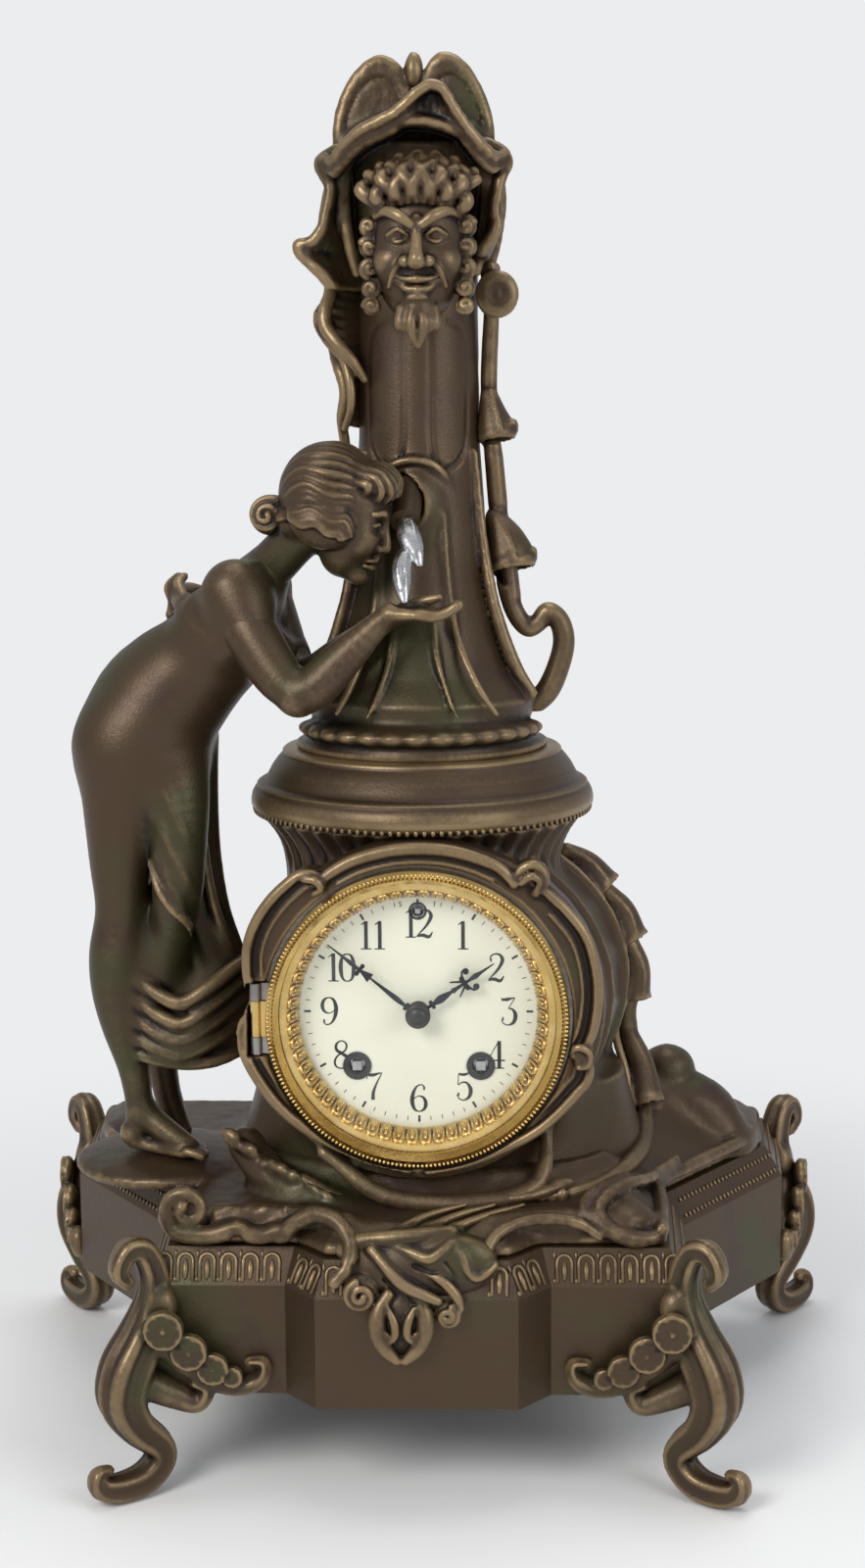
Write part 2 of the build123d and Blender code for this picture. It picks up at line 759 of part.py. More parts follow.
# Hood, mask and vines
def shell_hood():
    body = loft([section(0, 0, column_top, hood_waist_half), section(0, 0, hood_shoulder, hood_half),
                 section(0, 0, brim_crown, [h * share for h, share in zip(hood_half, hood_crown_shares)])])
    lobe_z = hood_top - lobe_radius
    for side in (-1, 1):
        plate = Plane(origin=(side * lobe_x, lobe_y - lobe_half_depth, lobe_z), z_dir=(0, 1, 0))
        body += extrude(plate * Circle(lobe_radius), 2 * lobe_half_depth)
    body += egg(0, lobe_y, hood_top - knob_half[2], knob_half)
    front_cut = Pos(0, -mask_back, column_top) * Box(
        4 * hood_half[0], hood_half[1], 4 * hood_half[0], align=(Align.CENTER, Align.MAX, Align.CENTER))
    body -= front_cut
    brim_low = hood_shoulder - brim_radius
    arch = [(side * hood_half[0], -forward * brim_reach, brim_low + up * brim_radius)
            for side, forward, up in brim_arch_shares]
    body += tube(arch, [brim_radius * share for share in brim_radius_shares], (0, 1, 0))
    peak = arch[len(arch) // 2]
    roof = [peak, (0, peak[1] / 2, peak[2]), (0, 0, brim_crown)]
    body += tube(roof, [brim_radius * share for share in roof_radius_shares], (1, 0, 0))
    return one(body)


def grotesque_mask(hood):
    body = egg(mask_x, -mask_back, mask_height, mask_half)
    front = -(mask_back + mask_half[1])
    root_out, root_down = beard_root_shares
    beard = [(mask_x, -mask_back - mask_half[1] * root_out, mask_height - mask_half[2] * root_down),
             (mask_x, -mask_back - mask_half[1] * beard_tip_share, mask_height - beard_drop)]
    body += tube(beard, [beard_radius, beard_radius * beard_taper_share], (1, 0, 0))
    body += egg(mask_x, front + nose_radius * nose_sink_share, mask_height - nose_radius,
                (nose_radius, nose_radius, nose_radius * nose_length_share))
    brow_side, brow_sink, brow_up = brow_place_shares
    hair_side, hair_out, hair_up = hair_place_shares
    for side in (-1, 1):
        body += egg(mask_x + side * brow_side * brow_radius, front + brow_sink * brow_radius,
                    mask_height + brow_up * brow_radius,
                    (brow_width_share * brow_radius, brow_radius, brow_radius))
        body += egg(mask_x + side * mask_half[0] * hair_side, -mask_back - mask_half[1] * hair_out,
                    mask_height + mask_half[2] * hair_up, (hair_radius, hair_radius, hair_radius))
    behind = Pos(mask_x, -mask_back, mask_height) * Box(
        4 * mask_half[0], 2 * mask_half[1], 4 * mask_half[2], align=(Align.CENTER, Align.MIN, Align.CENTER))
    return one(body - behind - hood)


def vine(side, shares, leaves, seats):
    path = [(side * x * vine_spread, 0, vine_foot + up * vine_rise) for x, up in shares]
    body = tube(path, [vine_radius] * len(path), (0, 1, 0))
    for x, up in leaves:
        body += egg(side * x * vine_spread, 0, vine_foot + up * vine_rise,
                    (leaf_radius, leaf_half_depth * 2, leaf_radius))
    for seat in seats:
        body -= seat
    return one(body)


# Woman
def figure_spot(forward, near, up):
    return (figure_x + forward * figure_rise, figure_y - near * figure_rise, ground_top + up * figure_rise)


def figure_body(ground, drum):
    rows = []
    for forward, near, up, half, depth, lean in figure_section_shares:
        turn = 2 * math.pi * lean
        plane = Plane(origin=figure_spot(forward, near, up), x_dir=(math.cos(turn), 0, -math.sin(turn)),
                      z_dir=(math.sin(turn), 0, math.cos(turn)))
        rows.append(plane * Ellipse(half * figure_width, depth * figure_width))
    body = loft(rows, ruled=True)
    first = figure_section_shares[0]
    sole = ground_top + mound_half[2] + foot_half[2]
    for near in (-1, 1):
        x = figure_x + near * leg_radius * leg_stagger_share
        y = figure_y - near * leg_spread
        top = ground_top + first[2] * figure_rise + leg_radius
        leg = [(x, y, top), (x - leg_radius * ankle_back_share, y, sole)]
        body += tube(leg, [leg_radius, leg_radius * leg_taper_share], (0, 1, 0))
        body += egg(x + foot_half[0] * instep_share, y, sole, foot_half)
    train = [figure_spot(*spot) for spot in train_path_shares]
    body += tube(train, [train_radius * share for share in train_radius_shares], (0, 1, 0))
    return one(body - ground - drum)


def figure_head(body):
    root = figure_spot(*figure_section_shares[-1][:3])
    head = egg(head_x, head_y, head_height, head_half)
    nape = (head_x - head_half[0] * nape_share, head_y, head_height - head_half[2] * nape_share)
    head += tube([root, nape], [neck_radius, neck_radius * neck_taper_share], (0, 1, 0))
    bun_back, bun_down = bun_place_shares
    head += egg(head_x - head_half[0] * bun_back, head_y, head_height - bun_half[2] * bun_down, bun_half)
    chin_out, chin_down = chin_place_shares
    head += egg(head_x + head_half[0] * chin_out, head_y, head_height - head_half[2] * chin_down,
                (chin_radius, chin_radius, chin_radius))
    return one(head - body)


def figure_arm(path, seats):
    arm = tube(path, [share * arm_radius for share in arm_radius_shares], (0, 1, 0))
    shoulder = path[0]
    arm += egg(*shoulder, [arm_radius * shoulder_share] * 3)
    elbow = path[2]
    arm += egg(*elbow, [arm_radius * elbow_share] * 3)
    wrist = path[-1]
    arm += egg(wrist[0] + hand_half[0] * hand_share, wrist[1], wrist[2], hand_half)
    for seat in seats:
        arm -= seat
    return one(arm)


# Spout and water
def spout(column):
    low = spout_height - spout_drop
    root = (spout_x, -spout_root, spout_height)
    mouth = (spout_x, -spout_reach, low)
    return one(tube([root, mouth], [spout_radius * spout_root_share, spout_radius], (1, 0, 0)) - column)


def water_stream(spout_solid, arm):
    mouth = Vector(spout_x, -spout_reach, spout_height - spout_drop)
    hand = right_arm_path[-1]
    low = hand[2] + hand_half[2] + seat_gap
    end = Vector(spout_x, hand[1], low)
    middle = (mouth + end) / 2 + Vector(water_sway, 0, 0)
    waist = water_radius * water_waist_share
    fall = tube([mouth, middle, end], [water_radius, waist, water_radius], (1, 0, 0))
    return one(fall - spout_solid - arm)


# Bezel, glass and dial
def revolved(profile):
    """Turns an outline of (radius, forward) points round the dial axis."""
    face = make_face(Polyline(*[(r, -forward, dial_height) for r, forward in profile], close=True))
    return revolve(face, Axis((0, 0, dial_height), (0, 1, 0)))


def hinge_barrel(low, high, radius):
    return upright(hinge_x, hinge_y, low, high, radius)


def hinge_leaf(low, high, reach):
    thick = hinge_radius
    leaf = Box(reach, thick, high - low, align=(Align.MIN, Align.CENTER, Align.MIN))
    return Pos(hinge_x, hinge_y, low) * leaf


def bezel_ring():
    third_depth = bezel_depth / 3
    shoulder = bezel_front - third_depth
    body = revolved([(bezel_bore, bezel_back), (bezel_radius, bezel_back), (bezel_radius, shoulder),
                     (bezel_radius - third_depth, bezel_front), (bezel_bore, shoulder)])
    half = knuckle_share * hinge_length / 2
    low, high = dial_height - half, dial_height + half
    leaf_reach = -hinge_x - (bezel_bore + bezel_radius) / 2
    body += hinge_barrel(low, high, hinge_radius) + hinge_leaf(low, high, leaf_reach)
    return body - hinge_barrel(low - cut_over, high + cut_over, pin_radius + run_gap)


def sight_ring():
    outer = bezel_bore - ring_gap
    back = glass_front - glass_thick - ring_gap
    return revolved([(outer, back), (outer, back - sight_thick), (sight_bore + sight_thick, sight_back),
                     (sight_bore, sight_back), (sight_bore, sight_back + sight_thick),
                     (outer - sight_thick * 2, back)])


def bezel_glass():
    return disc(centre, glass_front - glass_thick, glass_front, bezel_bore - ring_gap)


def dial_plate():
    plate = disc(centre, pan_front, dial_front, dial_radius)
    over = dial_front + cut_over
    plate -= disc(centre, 0, over, centre_hole)
    plate -= disc(time_great, 0, over, winding_hole)
    plate -= disc(strike_great, 0, over, winding_hole)
    return plate - disc(regulator, 0, over, regulator_hole)


def winding_collars():
    collars = []
    for place in (time_great, strike_great):
        lip = ring(place, dial_front, dial_front + collar_stand, collar_lip, collar_bore)
        sleeve = ring(place, pan_front, dial_front, winding_hole - ring_gap / 2, collar_bore)
        collars.append(lip + sleeve)
    return collars


def dial_pan():
    pan = disc(centre, pan_back, pan_front, pan_radius)
    pan += ring(centre, pan_back, bezel_back - ring_gap, pan_radius + pan_rim, pan_radius)
    pan += ring(centre, drum_face, bezel_back - ring_gap, pan_flange, pan_radius)
    over = dial_front + cut_over
    for place, radius in ((centre, centre_hole), (time_great, winding_hole), (strike_great, winding_hole),
                          (regulator, regulator_hole)):
        pan -= disc(place, 0, over, radius)
    for place in boss_places:
        pan += disc(place, front_plate_face, pan_back, boss_radius)
    half = hinge_length / 2
    inner = knuckle_share * half + knuckle_gap
    for low, high in ((-half, -inner), (inner, half)):
        pan += hinge_barrel(dial_height + low, dial_height + high, hinge_radius)
        web = Box(-hinge_x - pan_radius, -hinge_y - drum_face, high - low,
                  align=(Align.MIN, Align.MIN, Align.MIN))
        foot = Pos(hinge_x - hinge_radius / 2, hinge_y, dial_height + low) * web
        pan += foot - disc(centre, bezel_back - ring_gap, bezel_front, bezel_radius + ring_gap)
    return pan - hinge_barrel(dial_height - half - cut_over, dial_height + half + cut_over, pin_radius)


def hinge_pin():
    half = hinge_length / 2
    return hinge_barrel(dial_height - half, dial_height + half, pin_radius)


# Wheels and pinions
def toothed(teeth, module, phase):
    """Outline of a wheel or pinion; phase is the angle of one tooth's middle."""
    pitch_radius = teeth * module / 2
    tip = pitch_radius + addendum_share * module
    root = pitch_radius - dedendum_share * module
    step = 2 * math.pi / teeth
    points = []
    for i in range(teeth):
        middle = phase + i * step
        for radius, share in ((root, -root_width_share), (pitch_radius, -pitch_width_share),
                              (tip, -tip_width_share), (tip, tip_width_share),
                              (pitch_radius, pitch_width_share), (root, root_width_share)):
            turn = middle + share * step / 2
            points.append((radius * math.cos(turn), radius * math.sin(turn)))
    return make_face(Polyline(*points, close=True))


def crossed(face, root_radius, hub):
    """Cuts the openings between a wheel's spokes."""
    rim = root_radius * (1 + crossing_share) / 2
    if rim - hub < 2 * spoke_width:
        return face
    opening = Circle(rim) - Circle(hub)
    for i in range(spoke_count):
        bar = Rectangle(rim * spoke_reach_share, spoke_width)
        spoke = Rot(0, 0, 360 * i / spoke_count) * Pos(rim / 2, 0) * bar
        opening -= spoke
    return face - opening


def wheel(place, back, thick, teeth, module, phase):
    face = toothed(teeth, module, phase)
    root = (teeth / 2 - dedendum_share) * module
    return extrude(facing(place, back) * crossed(face, root, wheel_hub + spoke_width), thick)


def pinion(place, back, thick, teeth, module, phase):
    return extrude(facing(place, back) * toothed(teeth, module, phase), thick)


def mating_phase(a, phase_a, teeth_a, b, teeth_b):
    """Phase that puts a gap of b where a tooth of a stands on the line of centres."""
    line = math.atan2(b[1] - a[1], b[0] - a[0])
    part = (line - phase_a) * teeth_a / (2 * math.pi)
    return line + math.pi - (0.5 - part) * 2 * math.pi / teeth_b


def arbor(place, radius=arbor_radius):
    """Arbor between the plates with a pivot in each."""
    body = disc(place, rear_plate_face + end_shake, front_plate_back - end_shake, radius)
    return body + disc(place, rear_plate_back, front_plate_face, pivot_radius)


time_great_phase = 0.0
time_first_phase = mating_phase(time_great, time_great_phase, great_teeth, time_second, first_leaves)
time_second_phase = time_first_phase
centre_leaf_phase = mating_phase(time_second, time_second_phase, going_second_teeth, centre, centre_leaves)
centre_phase = centre_leaf_phase
third_leaf_phase = mating_phase(centre, centre_phase, centre_teeth, third, third_leaves)
third_phase = third_leaf_phase
escape_leaf_phase = mating_phase(third, third_phase, third_teeth, escape, escape_leaves)
cannon_phase = centre_leaf_phase
minute_phase = mating_phase(centre, cannon_phase, cannon_leaves, minute_place, minute_teeth)
minute_leaf_phase = minute_phase
hour_phase = mating_phase(minute_place, minute_leaf_phase, minute_leaves, centre, hour_teeth)
strike_great_phase = 0.0
strike_first_phase = mating_phase(strike_great, strike_great_phase, great_teeth, strike_second, first_leaves)
strike_second_phase = strike_first_phase
fly_phase = mating_phase(strike_second, strike_second_phase, strike_second_teeth, fly_place, fly_leaves)


def great_wheel(place, phase):
    body = wheel(place, great_wheel_y, great_thick, great_teeth, great_module, phase)
    hub = winding_radius + 2 * spoke_width
    front = great_wheel_y + great_thick
    body += disc(place, great_wheel_y, front, hub)
    low = ratchet_radius + click_gap
    spot = (place[0] + low + click_width / 2, place[1])
    click = Rectangle(click_width, click_length)
    body += disc(spot, great_wheel_y, front, click_length / 2)
    body += extrude(facing(spot, front) * click, ratchet_thick + leaf_overlap)
    return body - disc(place, 0, front + cut_over, winding_radius + run_gap)


def ratchet_outline():
    step = 2 * math.pi / ratchet_teeth
    points = []
    for i in range(ratchet_teeth):
        root = (ratchet_radius - ratchet_depth, (i + ratchet_lead_share) * step)
        for radius, turn in ((ratchet_radius, i * step), root):
            points.append((radius * math.cos(turn), radius * math.sin(turn)))
    return make_face(Polyline(*points, close=True))


def winding_arbor(place):
    front = great_wheel_y + great_thick + leaf_overlap
    body = disc(place, rear_plate_face + end_shake, pan_back, winding_radius)
    body += disc(place, rear_plate_back, rear_plate_face + end_shake, pivot_radius)
    square = Rectangle(winding_square, winding_square)
    body += extrude(facing(place, pan_back) * square, winding_tip - pan_back)
    return body + extrude(facing(place, front) * ratchet_outline(), ratchet_thick)


def mainspring(place):
    """Spiral strip of half turns about two centres; the outer end hooks to a pillar in the real movement."""
    step = (spring_radius - spring_bore) / spring_half_turns
    outer, inner = [], []
    for i in range(spring_half_turns):
        radius = spring_radius - i * step
        middle = (-step if i % 2 else 0, 0)
        start = 180 if i % 2 else 0
        outer.append(CenterArc(middle, radius, start, 180))
        inner.append(CenterArc(middle, radius - spring_thick, start, 180))
    first = Line(outer[0] @ 0, inner[0] @ 0)
    last = Line(outer[-1] @ 1, inner[-1] @ 1)
    face = make_face(Curve() + outer + inner + [first, last])
    return extrude(facing(place, spring_y) * face, spring_width)


def time_second_wheel():
    body = arbor(time_second)
    body += wheel(time_second, second_wheel_y, second_thick, going_second_teeth, going_second_module,
                  time_second_phase)
    body += disc(time_second, second_wheel_y, great_wheel_y, wheel_hub)
    return body + pinion(time_second, great_wheel_y - leaf_overlap, great_thick + 2 * leaf_overlap,
                         first_leaves, great_module, time_first_phase)


def centre_wheel():
    body = disc(centre, rear_plate_face + end_shake, minute_hand_y + hand_thick, centre_radius)
    body += disc(centre, rear_plate_back, rear_plate_face + end_shake, pivot_radius)
    body += pinion(centre, second_wheel_y - leaf_overlap, second_thick + 2 * leaf_overlap, centre_leaves,
                   going_second_module, centre_leaf_phase)
    body += wheel(centre, centre_wheel_y, thin_wheel, centre_teeth, centre_module, centre_phase)
    body += pinion(centre, motion_wheel_y - leaf_overlap / 2, motion_thick + leaf_overlap, cannon_leaves,
                   cannon_module, cannon_phase)
    return body


def third_wheel():
    body = arbor(third)
    body += wheel(third, third_wheel_y, thin_wheel, third_teeth, third_module, third_phase)
    return body + pinion(third, centre_wheel_y - leaf_overlap, thin_wheel + 2 * leaf_overlap, third_leaves,
                         centre_module, third_leaf_phase)


def escape_outline():
    step = 2 * math.pi / escape_teeth
    points = []
    for i in range(escape_teeth):
        root = (escape_radius - escape_depth, (i + escape_lead_share) * step)
        for radius, turn in ((escape_radius, i * step), root):
            points.append((radius * math.cos(turn), radius * math.sin(turn)))
    return make_face(Polyline(*points, close=True))


def escape_wheel():
    body = arbor(escape)
    blank = crossed(escape_outline(), escape_radius - escape_depth, wheel_hub)
    body += extrude(facing(escape, escape_wheel_y) * blank, thin_wheel)
    return body + pinion(escape, third_wheel_y - leaf_overlap, thin_wheel + 2 * leaf_overlap, escape_leaves,
                         third_module, escape_leaf_phase)


def minute_wheel():
    body = disc(minute_place, front_plate_face + end_shake, hour_wheel_y + motion_thick, arbor_radius)
    body += disc(minute_place, front_plate_back, front_plate_face + end_shake, pivot_radius)
    body += wheel(minute_place, motion_wheel_y, motion_thick, minute_teeth, cannon_module, minute_phase)
    return body + pinion(minute_place, hour_wheel_y - leaf_overlap / 2, motion_thick + leaf_overlap,
                         minute_leaves, minute_module, minute_leaf_phase)


def hour_wheel():
    body = wheel(centre, hour_wheel_y, motion_thick, hour_teeth, minute_module, hour_phase)
    body += disc(centre, hour_wheel_y, hour_hand_y + hand_thick, pipe_radius)
    return body - disc(centre, 0, bezel_front, centre_radius + 2 * run_gap)


def strike_second_wheel():
    body = arbor(strike_second)
    body += wheel(strike_second, second_wheel_y, second_thick, strike_second_teeth, strike_second_module,
                  strike_second_phase)
    body += disc(strike_second, second_wheel_y, great_wheel_y, wheel_hub)
    return body + pinion(strike_second, great_wheel_y - leaf_overlap, great_thick + 2 * leaf_overlap,
                         first_leaves, great_module, strike_first_phase)


def fly():
    body = arbor(fly_place)
    body += pinion(fly_place, second_wheel_y - leaf_overlap, second_thick + 2 * leaf_overlap, fly_leaves,
                   strike_second_module, fly_phase)
    blade = Rectangle(2 * fly_half, fly_thick) + Circle(2 * arbor_radius)
    return body + extrude(facing(fly_place, fly_y) * blade, fly_height)


# Hands
def hand(length, hub, bore, cross_share, back, clockwise):
    spot = cross_share * length
    taper = hand_taper_share * length
    right = [(hand_tip_half, taper), (hand_root_half, spot), (hand_root_half, 0)]
    left = [(-x, along) for x, along in reversed(right)]
    blade = make_face(Polyline(*left, (0, length), *right, close=True))
    bar = Pos(0, spot) * Rectangle(2 * hand_cross, 2 * hand_cross_half)
    knots = [Pos(side * hand_cross, spot) * Circle(hand_knot_share * hand_cross_half) for side in (-1, 1)]
    outline = Circle(hub) + blade + bar + knots
    outline = Rot(0, 0, -clockwise) * (outline - Circle(bore))
    return extrude(facing(centre, back) * outline, hand_thick)


def hour_hand():
    return hand(hour_hand_length, hour_hub, pipe_radius, hour_cross_share, hour_hand_y, hour_angle)


def minute_hand():
    return hand(minute_hand_length, minute_hub, centre_radius, minute_cross_share, minute_hand_y,
                minute_hand_angle)


def hand_collet():
    base = minute_hand_y + hand_thick
    dome = [(share * collet_radius, base + up * collet_rise) for share, up in collet_shares]
    return revolved([(0, base)] + dome)


# Plates, pillars and screws
def plate(face, holes):
    blank = RectangleRounded(2 * plate_half[0], 2 * plate_half[1], plate_corner)
    body = extrude(facing(centre, face - plate_thick) * blank, plate_thick)
    for place, radius in holes:
        body -= disc(place, face - plate_thick - cut_over, face + cut_over, radius)
    return body


pivot_hole = pivot_radius + run_gap
train_places = [time_second, third, escape, strike_second, fly_place]


def front_plate():
    holes = [(place, pivot_hole) for place in train_places + [minute_place, verge_place, hammer_place]]
    holes += [(centre, centre_radius + run_gap), (regulator, regulator_radius + run_gap)]
    holes += [(place, winding_radius + run_gap) for place in (time_great, strike_great)]
    return plate(front_plate_face, holes)


def rear_plate():
    holes = [(place, pivot_hole) for place in train_places + [centre, time_great, strike_great]]
    holes += [(verge_place, arbor_radius + run_gap), (hammer_place, hammer_arbor + run_gap)]
    holes += [(regulator, regulator_radius + run_gap)]
    holes += [(place, plate_screw_radius + screw_gap) for place in pillar_places]
    return plate(rear_plate_face, holes)


def plate_pillars():
    posts = []
    for place in pillar_places:
        post = disc(place, rear_plate_face, front_plate_back, pillar_radius)
        hole = disc(place, 0, rear_plate_face + plate_screw_grip, plate_screw_radius + screw_gap)
        posts.append(post - hole)
    return posts


def movement_screws():
    screws = []
    for place in pillar_places:
        tip = rear_plate_face + plate_screw_grip - screw_gap
        head_back = rear_plate_back - plate_screw_head_rise
        screws.append(disc(place, rear_plate_back, tip, plate_screw_radius)
                      + disc(place, head_back, rear_plate_back, plate_screw_head))
    return screws


# Escapement, pendulum, regulator
def verge():
    body = disc(verge_place, pendulum_y, front_plate_back - end_shake, arbor_radius)
    body += disc(verge_place, front_plate_back - end_shake, front_plate_face, pivot_radius)
    beam = Rectangle(2 * verge_half, 2 * verge_arm)
    limb = Rectangle(2 * verge_arm, verge_drop, align=(Align.CENTER, Align.MAX))
    shape = beam + Pos(verge_half, 0) * limb + Pos(-verge_half, 0) * limb
    over = escape_wheel_y - leaf_overlap
    return body + extrude(facing(verge_place, over) * shape, thin_wheel + 2 * leaf_overlap)


def pendulum_rod():
    back = pendulum_y - rod_half
    body = disc(verge_place, back, pendulum_y + rod_half, pendulum_hub)
    bar = Pos(0, -pendulum_length / 2) * Rectangle(2 * rod_half, pendulum_length)
    body += extrude(facing(verge_place, back) * bar, 2 * rod_half)
    return body - disc(verge_place, pendulum_y, pendulum_y + bezel_depth, arbor_radius)


def pendulum_bob(rod):
    low = (0.0, verge_rise - pendulum_length)
    half = bob_thick / 2
    face = make_face(Polyline((0, -half), (bob_radius - bob_edge, -half), (bob_radius, 0),
                              (bob_radius - bob_edge, half), (0, half), close=True))
    lens = revolve(face, Axis.Y)
    lens = Pos(low[0], -pendulum_y, dial_height + low[1]) * lens
    return lens - rod


def regulator_arbor():
    body = disc(regulator, regulator_back, pan_back, regulator_radius)
    body += extrude(facing(regulator, pan_back) * Rectangle(regulator_square, regulator_square),
                    regulator_tip - pan_back)
    return body + disc(regulator, regulator_back, rear_plate_back - end_shake, regulator_pinion)


# Strike work
def hammer():
    body = disc(hammer_place, -gong_y, front_plate_back - end_shake, hammer_arbor)
    body += disc(hammer_place, front_plate_back - end_shake, front_plate_face, pivot_radius)
    head = (hammer_head_x, -hammer_head_drop)
    tail = (tail_x, -tail_drop)
    for end, forward, half in ((head, -gong_y, hammer_arm), (tail, second_wheel_y, hammer_arm)):
        span = math.dist(hammer_place, end)
        turn = math.degrees(math.atan2(end[1] - hammer_place[1], end[0] - hammer_place[0]))
        bar = Rot(0, 0, turn) * (Pos(span / 2, 0) * Rectangle(span, 2 * half))
        body += extrude(facing(hammer_place, forward - half) * bar, 2 * half)
    body += disc(hammer_place, -gong_y - hammer_arm, -gong_y + hammer_arm, 2 * hammer_arbor)
    body += disc(hammer_place, second_wheel_y - hammer_arm, second_wheel_y + hammer_arm, 2 * hammer_arbor)
    return body + disc(head, -gong_y - hammer_head[1] / 2, -gong_y + hammer_head[1] / 2, hammer_head[0])


def gong_coil():
    """Flat spiral of half turns about two centres, ending square on the stand."""
    step = (gong_radius - gong_bore) / gong_half_turns
    lines = [Line((stand_x - stand_half[0], -gong_radius), (0, -gong_radius))]
    for i in range(gong_half_turns):
        radius = gong_radius - i * step
        middle = (0, step if i % 2 else 0)
        start = 90 if i % 2 else -90
        lines.append(CenterArc(middle, radius, start, -180))
    path = facing(centre, -gong_y) * (Curve() + lines)
    mouth = Plane(origin=(stand_x - stand_half[0], gong_y, dial_height - gong_radius), z_dir=(-1, 0, 0))
    return sweep(mouth * Circle(gong_wire), path=Wire(path.edges()))


def gong_stand():
    post = Pos(stand_x, gong_y, dial_height + stand_top) * Box(
        2 * stand_half[0], 2 * stand_half[1], drum_cavity, align=(Align.CENTER, Align.CENTER, Align.MAX))
    return post & disc(centre, -drum_back, 0, drum_cavity)


def rear_cover():
    lid = disc(centre, -drum_back - cover_thick, -drum_back, cover_radius)
    lip_radius = drum_rear_hole - cover_lip_gap
    return lid + ring(centre, -drum_back, -drum_back + cover_lip, lip_radius, lip_radius - cover_lip_wall)


# Build every piece and write it out
ground = rock_ground()
drum = drum_case()
column = fountain_column()
hood = shell_hood()
mask = grotesque_mask(hood)
woman = figure_body(ground, drum)
woman_head = figure_head(woman)
woman_arm = figure_arm(right_arm_path, [woman])
far_arm = figure_arm(left_arm_path, [woman, column, woman_arm])
spout_solid = spout(column)
pendulum = pendulum_rod()

pieces = {
    "base_plinth": base_plinth(),
    "rock_ground": ground,
    "foot_front_left": scroll_foot(feet_frames[0]),
    "foot_front_right": scroll_foot(feet_frames[1]),
    "foot_rear_left": scroll_foot(feet_frames[2]),
    "foot_rear_right": scroll_foot(feet_frames[3]),
    "casting_screws": casting_screws(),
    "drum_case": drum,
    "reed_stalk": reed_stalk(drum, ground),
    "cornice_cap": cornice_cap(),
    "fountain_column": column,
    "tie_rod": tie_rod(),
    "tie_nut": tie_nut(),
    "shell_hood": hood,
    "grotesque_mask": mask,
    "vine_left": vine(-1, vine_left_shares, vine_left_leaves, [column, hood, mask]),
    "vine_right": vine(1, vine_right_shares, vine_right_leaves, [column, hood, mask]),
    "figure_body": woman,
    "figure_head": woman_head,
    "figure_right_arm": woman_arm,
    "figure_left_arm": far_arm,
    "spout": spout_solid,
    "water_stream": water_stream(spout_solid, woman_arm),
    "bezel_ring": bezel_ring(),
    "sight_ring": sight_ring(),
    "bezel_glass": bezel_glass(),
    "hinge_pin": hinge_pin(),
    "dial_plate": dial_plate(),
    "dial_pan": dial_pan(),
    "winding_collars": winding_collars(),
    "front_plate": front_plate(),
    "rear_plate": rear_plate(),
    "plate_pillars": plate_pillars(),
    "movement_screws": movement_screws(),
    "time_mainspring": mainspring(time_great),
    "strike_mainspring": mainspring(strike_great),
    "time_great_wheel": great_wheel(time_great, time_great_phase),
    "strike_great_wheel": great_wheel(strike_great, strike_great_phase),
    "time_winding_arbor": winding_arbor(time_great),
    "strike_winding_arbor": winding_arbor(strike_great),
    "time_second_wheel": time_second_wheel(),
    "centre_wheel": centre_wheel(),
    "third_wheel": third_wheel(),
    "escape_wheel": escape_wheel(),
    "minute_wheel": minute_wheel(),
    "hour_wheel": hour_wheel(),
    "hour_hand": hour_hand(),
    "minute_hand": minute_hand(),
    "hand_collet": hand_collet(),
    "strike_second_wheel": strike_second_wheel(),
    "fly": fly(),
    "verge": verge(),
    "pendulum_rod": pendulum,
    "pendulum_bob": pendulum_bob(pendulum),
    "regulator_arbor": regulator_arbor(),
    "hammer": hammer(),
    "gong_coil": gong_coil(),
    "gong_stand": gong_stand(),
    "rear_cover": rear_cover(),
}

for name, shape in pieces.items():
    solids = shape if isinstance(shape, list) else [shape]
    export_step(Compound(children=list(solids)) if len(solids) > 1 else solids[0], f"parts/{name}.step")
print(len(pieces), "pieces")
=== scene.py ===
import bmesh
import bpy
import json
import math
import numpy as np
from math import cos, pi, radians, sin
from mathutils import Matrix, Vector


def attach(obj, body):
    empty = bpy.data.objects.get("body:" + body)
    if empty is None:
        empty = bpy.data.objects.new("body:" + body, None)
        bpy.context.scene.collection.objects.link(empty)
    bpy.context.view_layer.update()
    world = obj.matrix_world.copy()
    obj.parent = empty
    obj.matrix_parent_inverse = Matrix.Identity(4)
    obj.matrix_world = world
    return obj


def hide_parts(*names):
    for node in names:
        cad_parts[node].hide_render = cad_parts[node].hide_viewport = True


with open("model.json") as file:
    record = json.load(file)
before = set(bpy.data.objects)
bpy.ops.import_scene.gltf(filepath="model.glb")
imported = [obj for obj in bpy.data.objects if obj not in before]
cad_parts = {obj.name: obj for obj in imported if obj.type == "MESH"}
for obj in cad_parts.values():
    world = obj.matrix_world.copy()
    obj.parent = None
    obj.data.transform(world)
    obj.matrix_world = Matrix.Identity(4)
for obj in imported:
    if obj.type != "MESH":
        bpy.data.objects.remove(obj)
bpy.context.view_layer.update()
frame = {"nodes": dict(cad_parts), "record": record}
mm = 0.001                                   # the clay is worked in millimetres
coarse = 1.0
farAway = 15.0                               # distance an empty block of clay starts with
scene = bpy.context.scene


# clay
def unit(v):
    v = np.asarray(v, float)
    return v / np.linalg.norm(v)


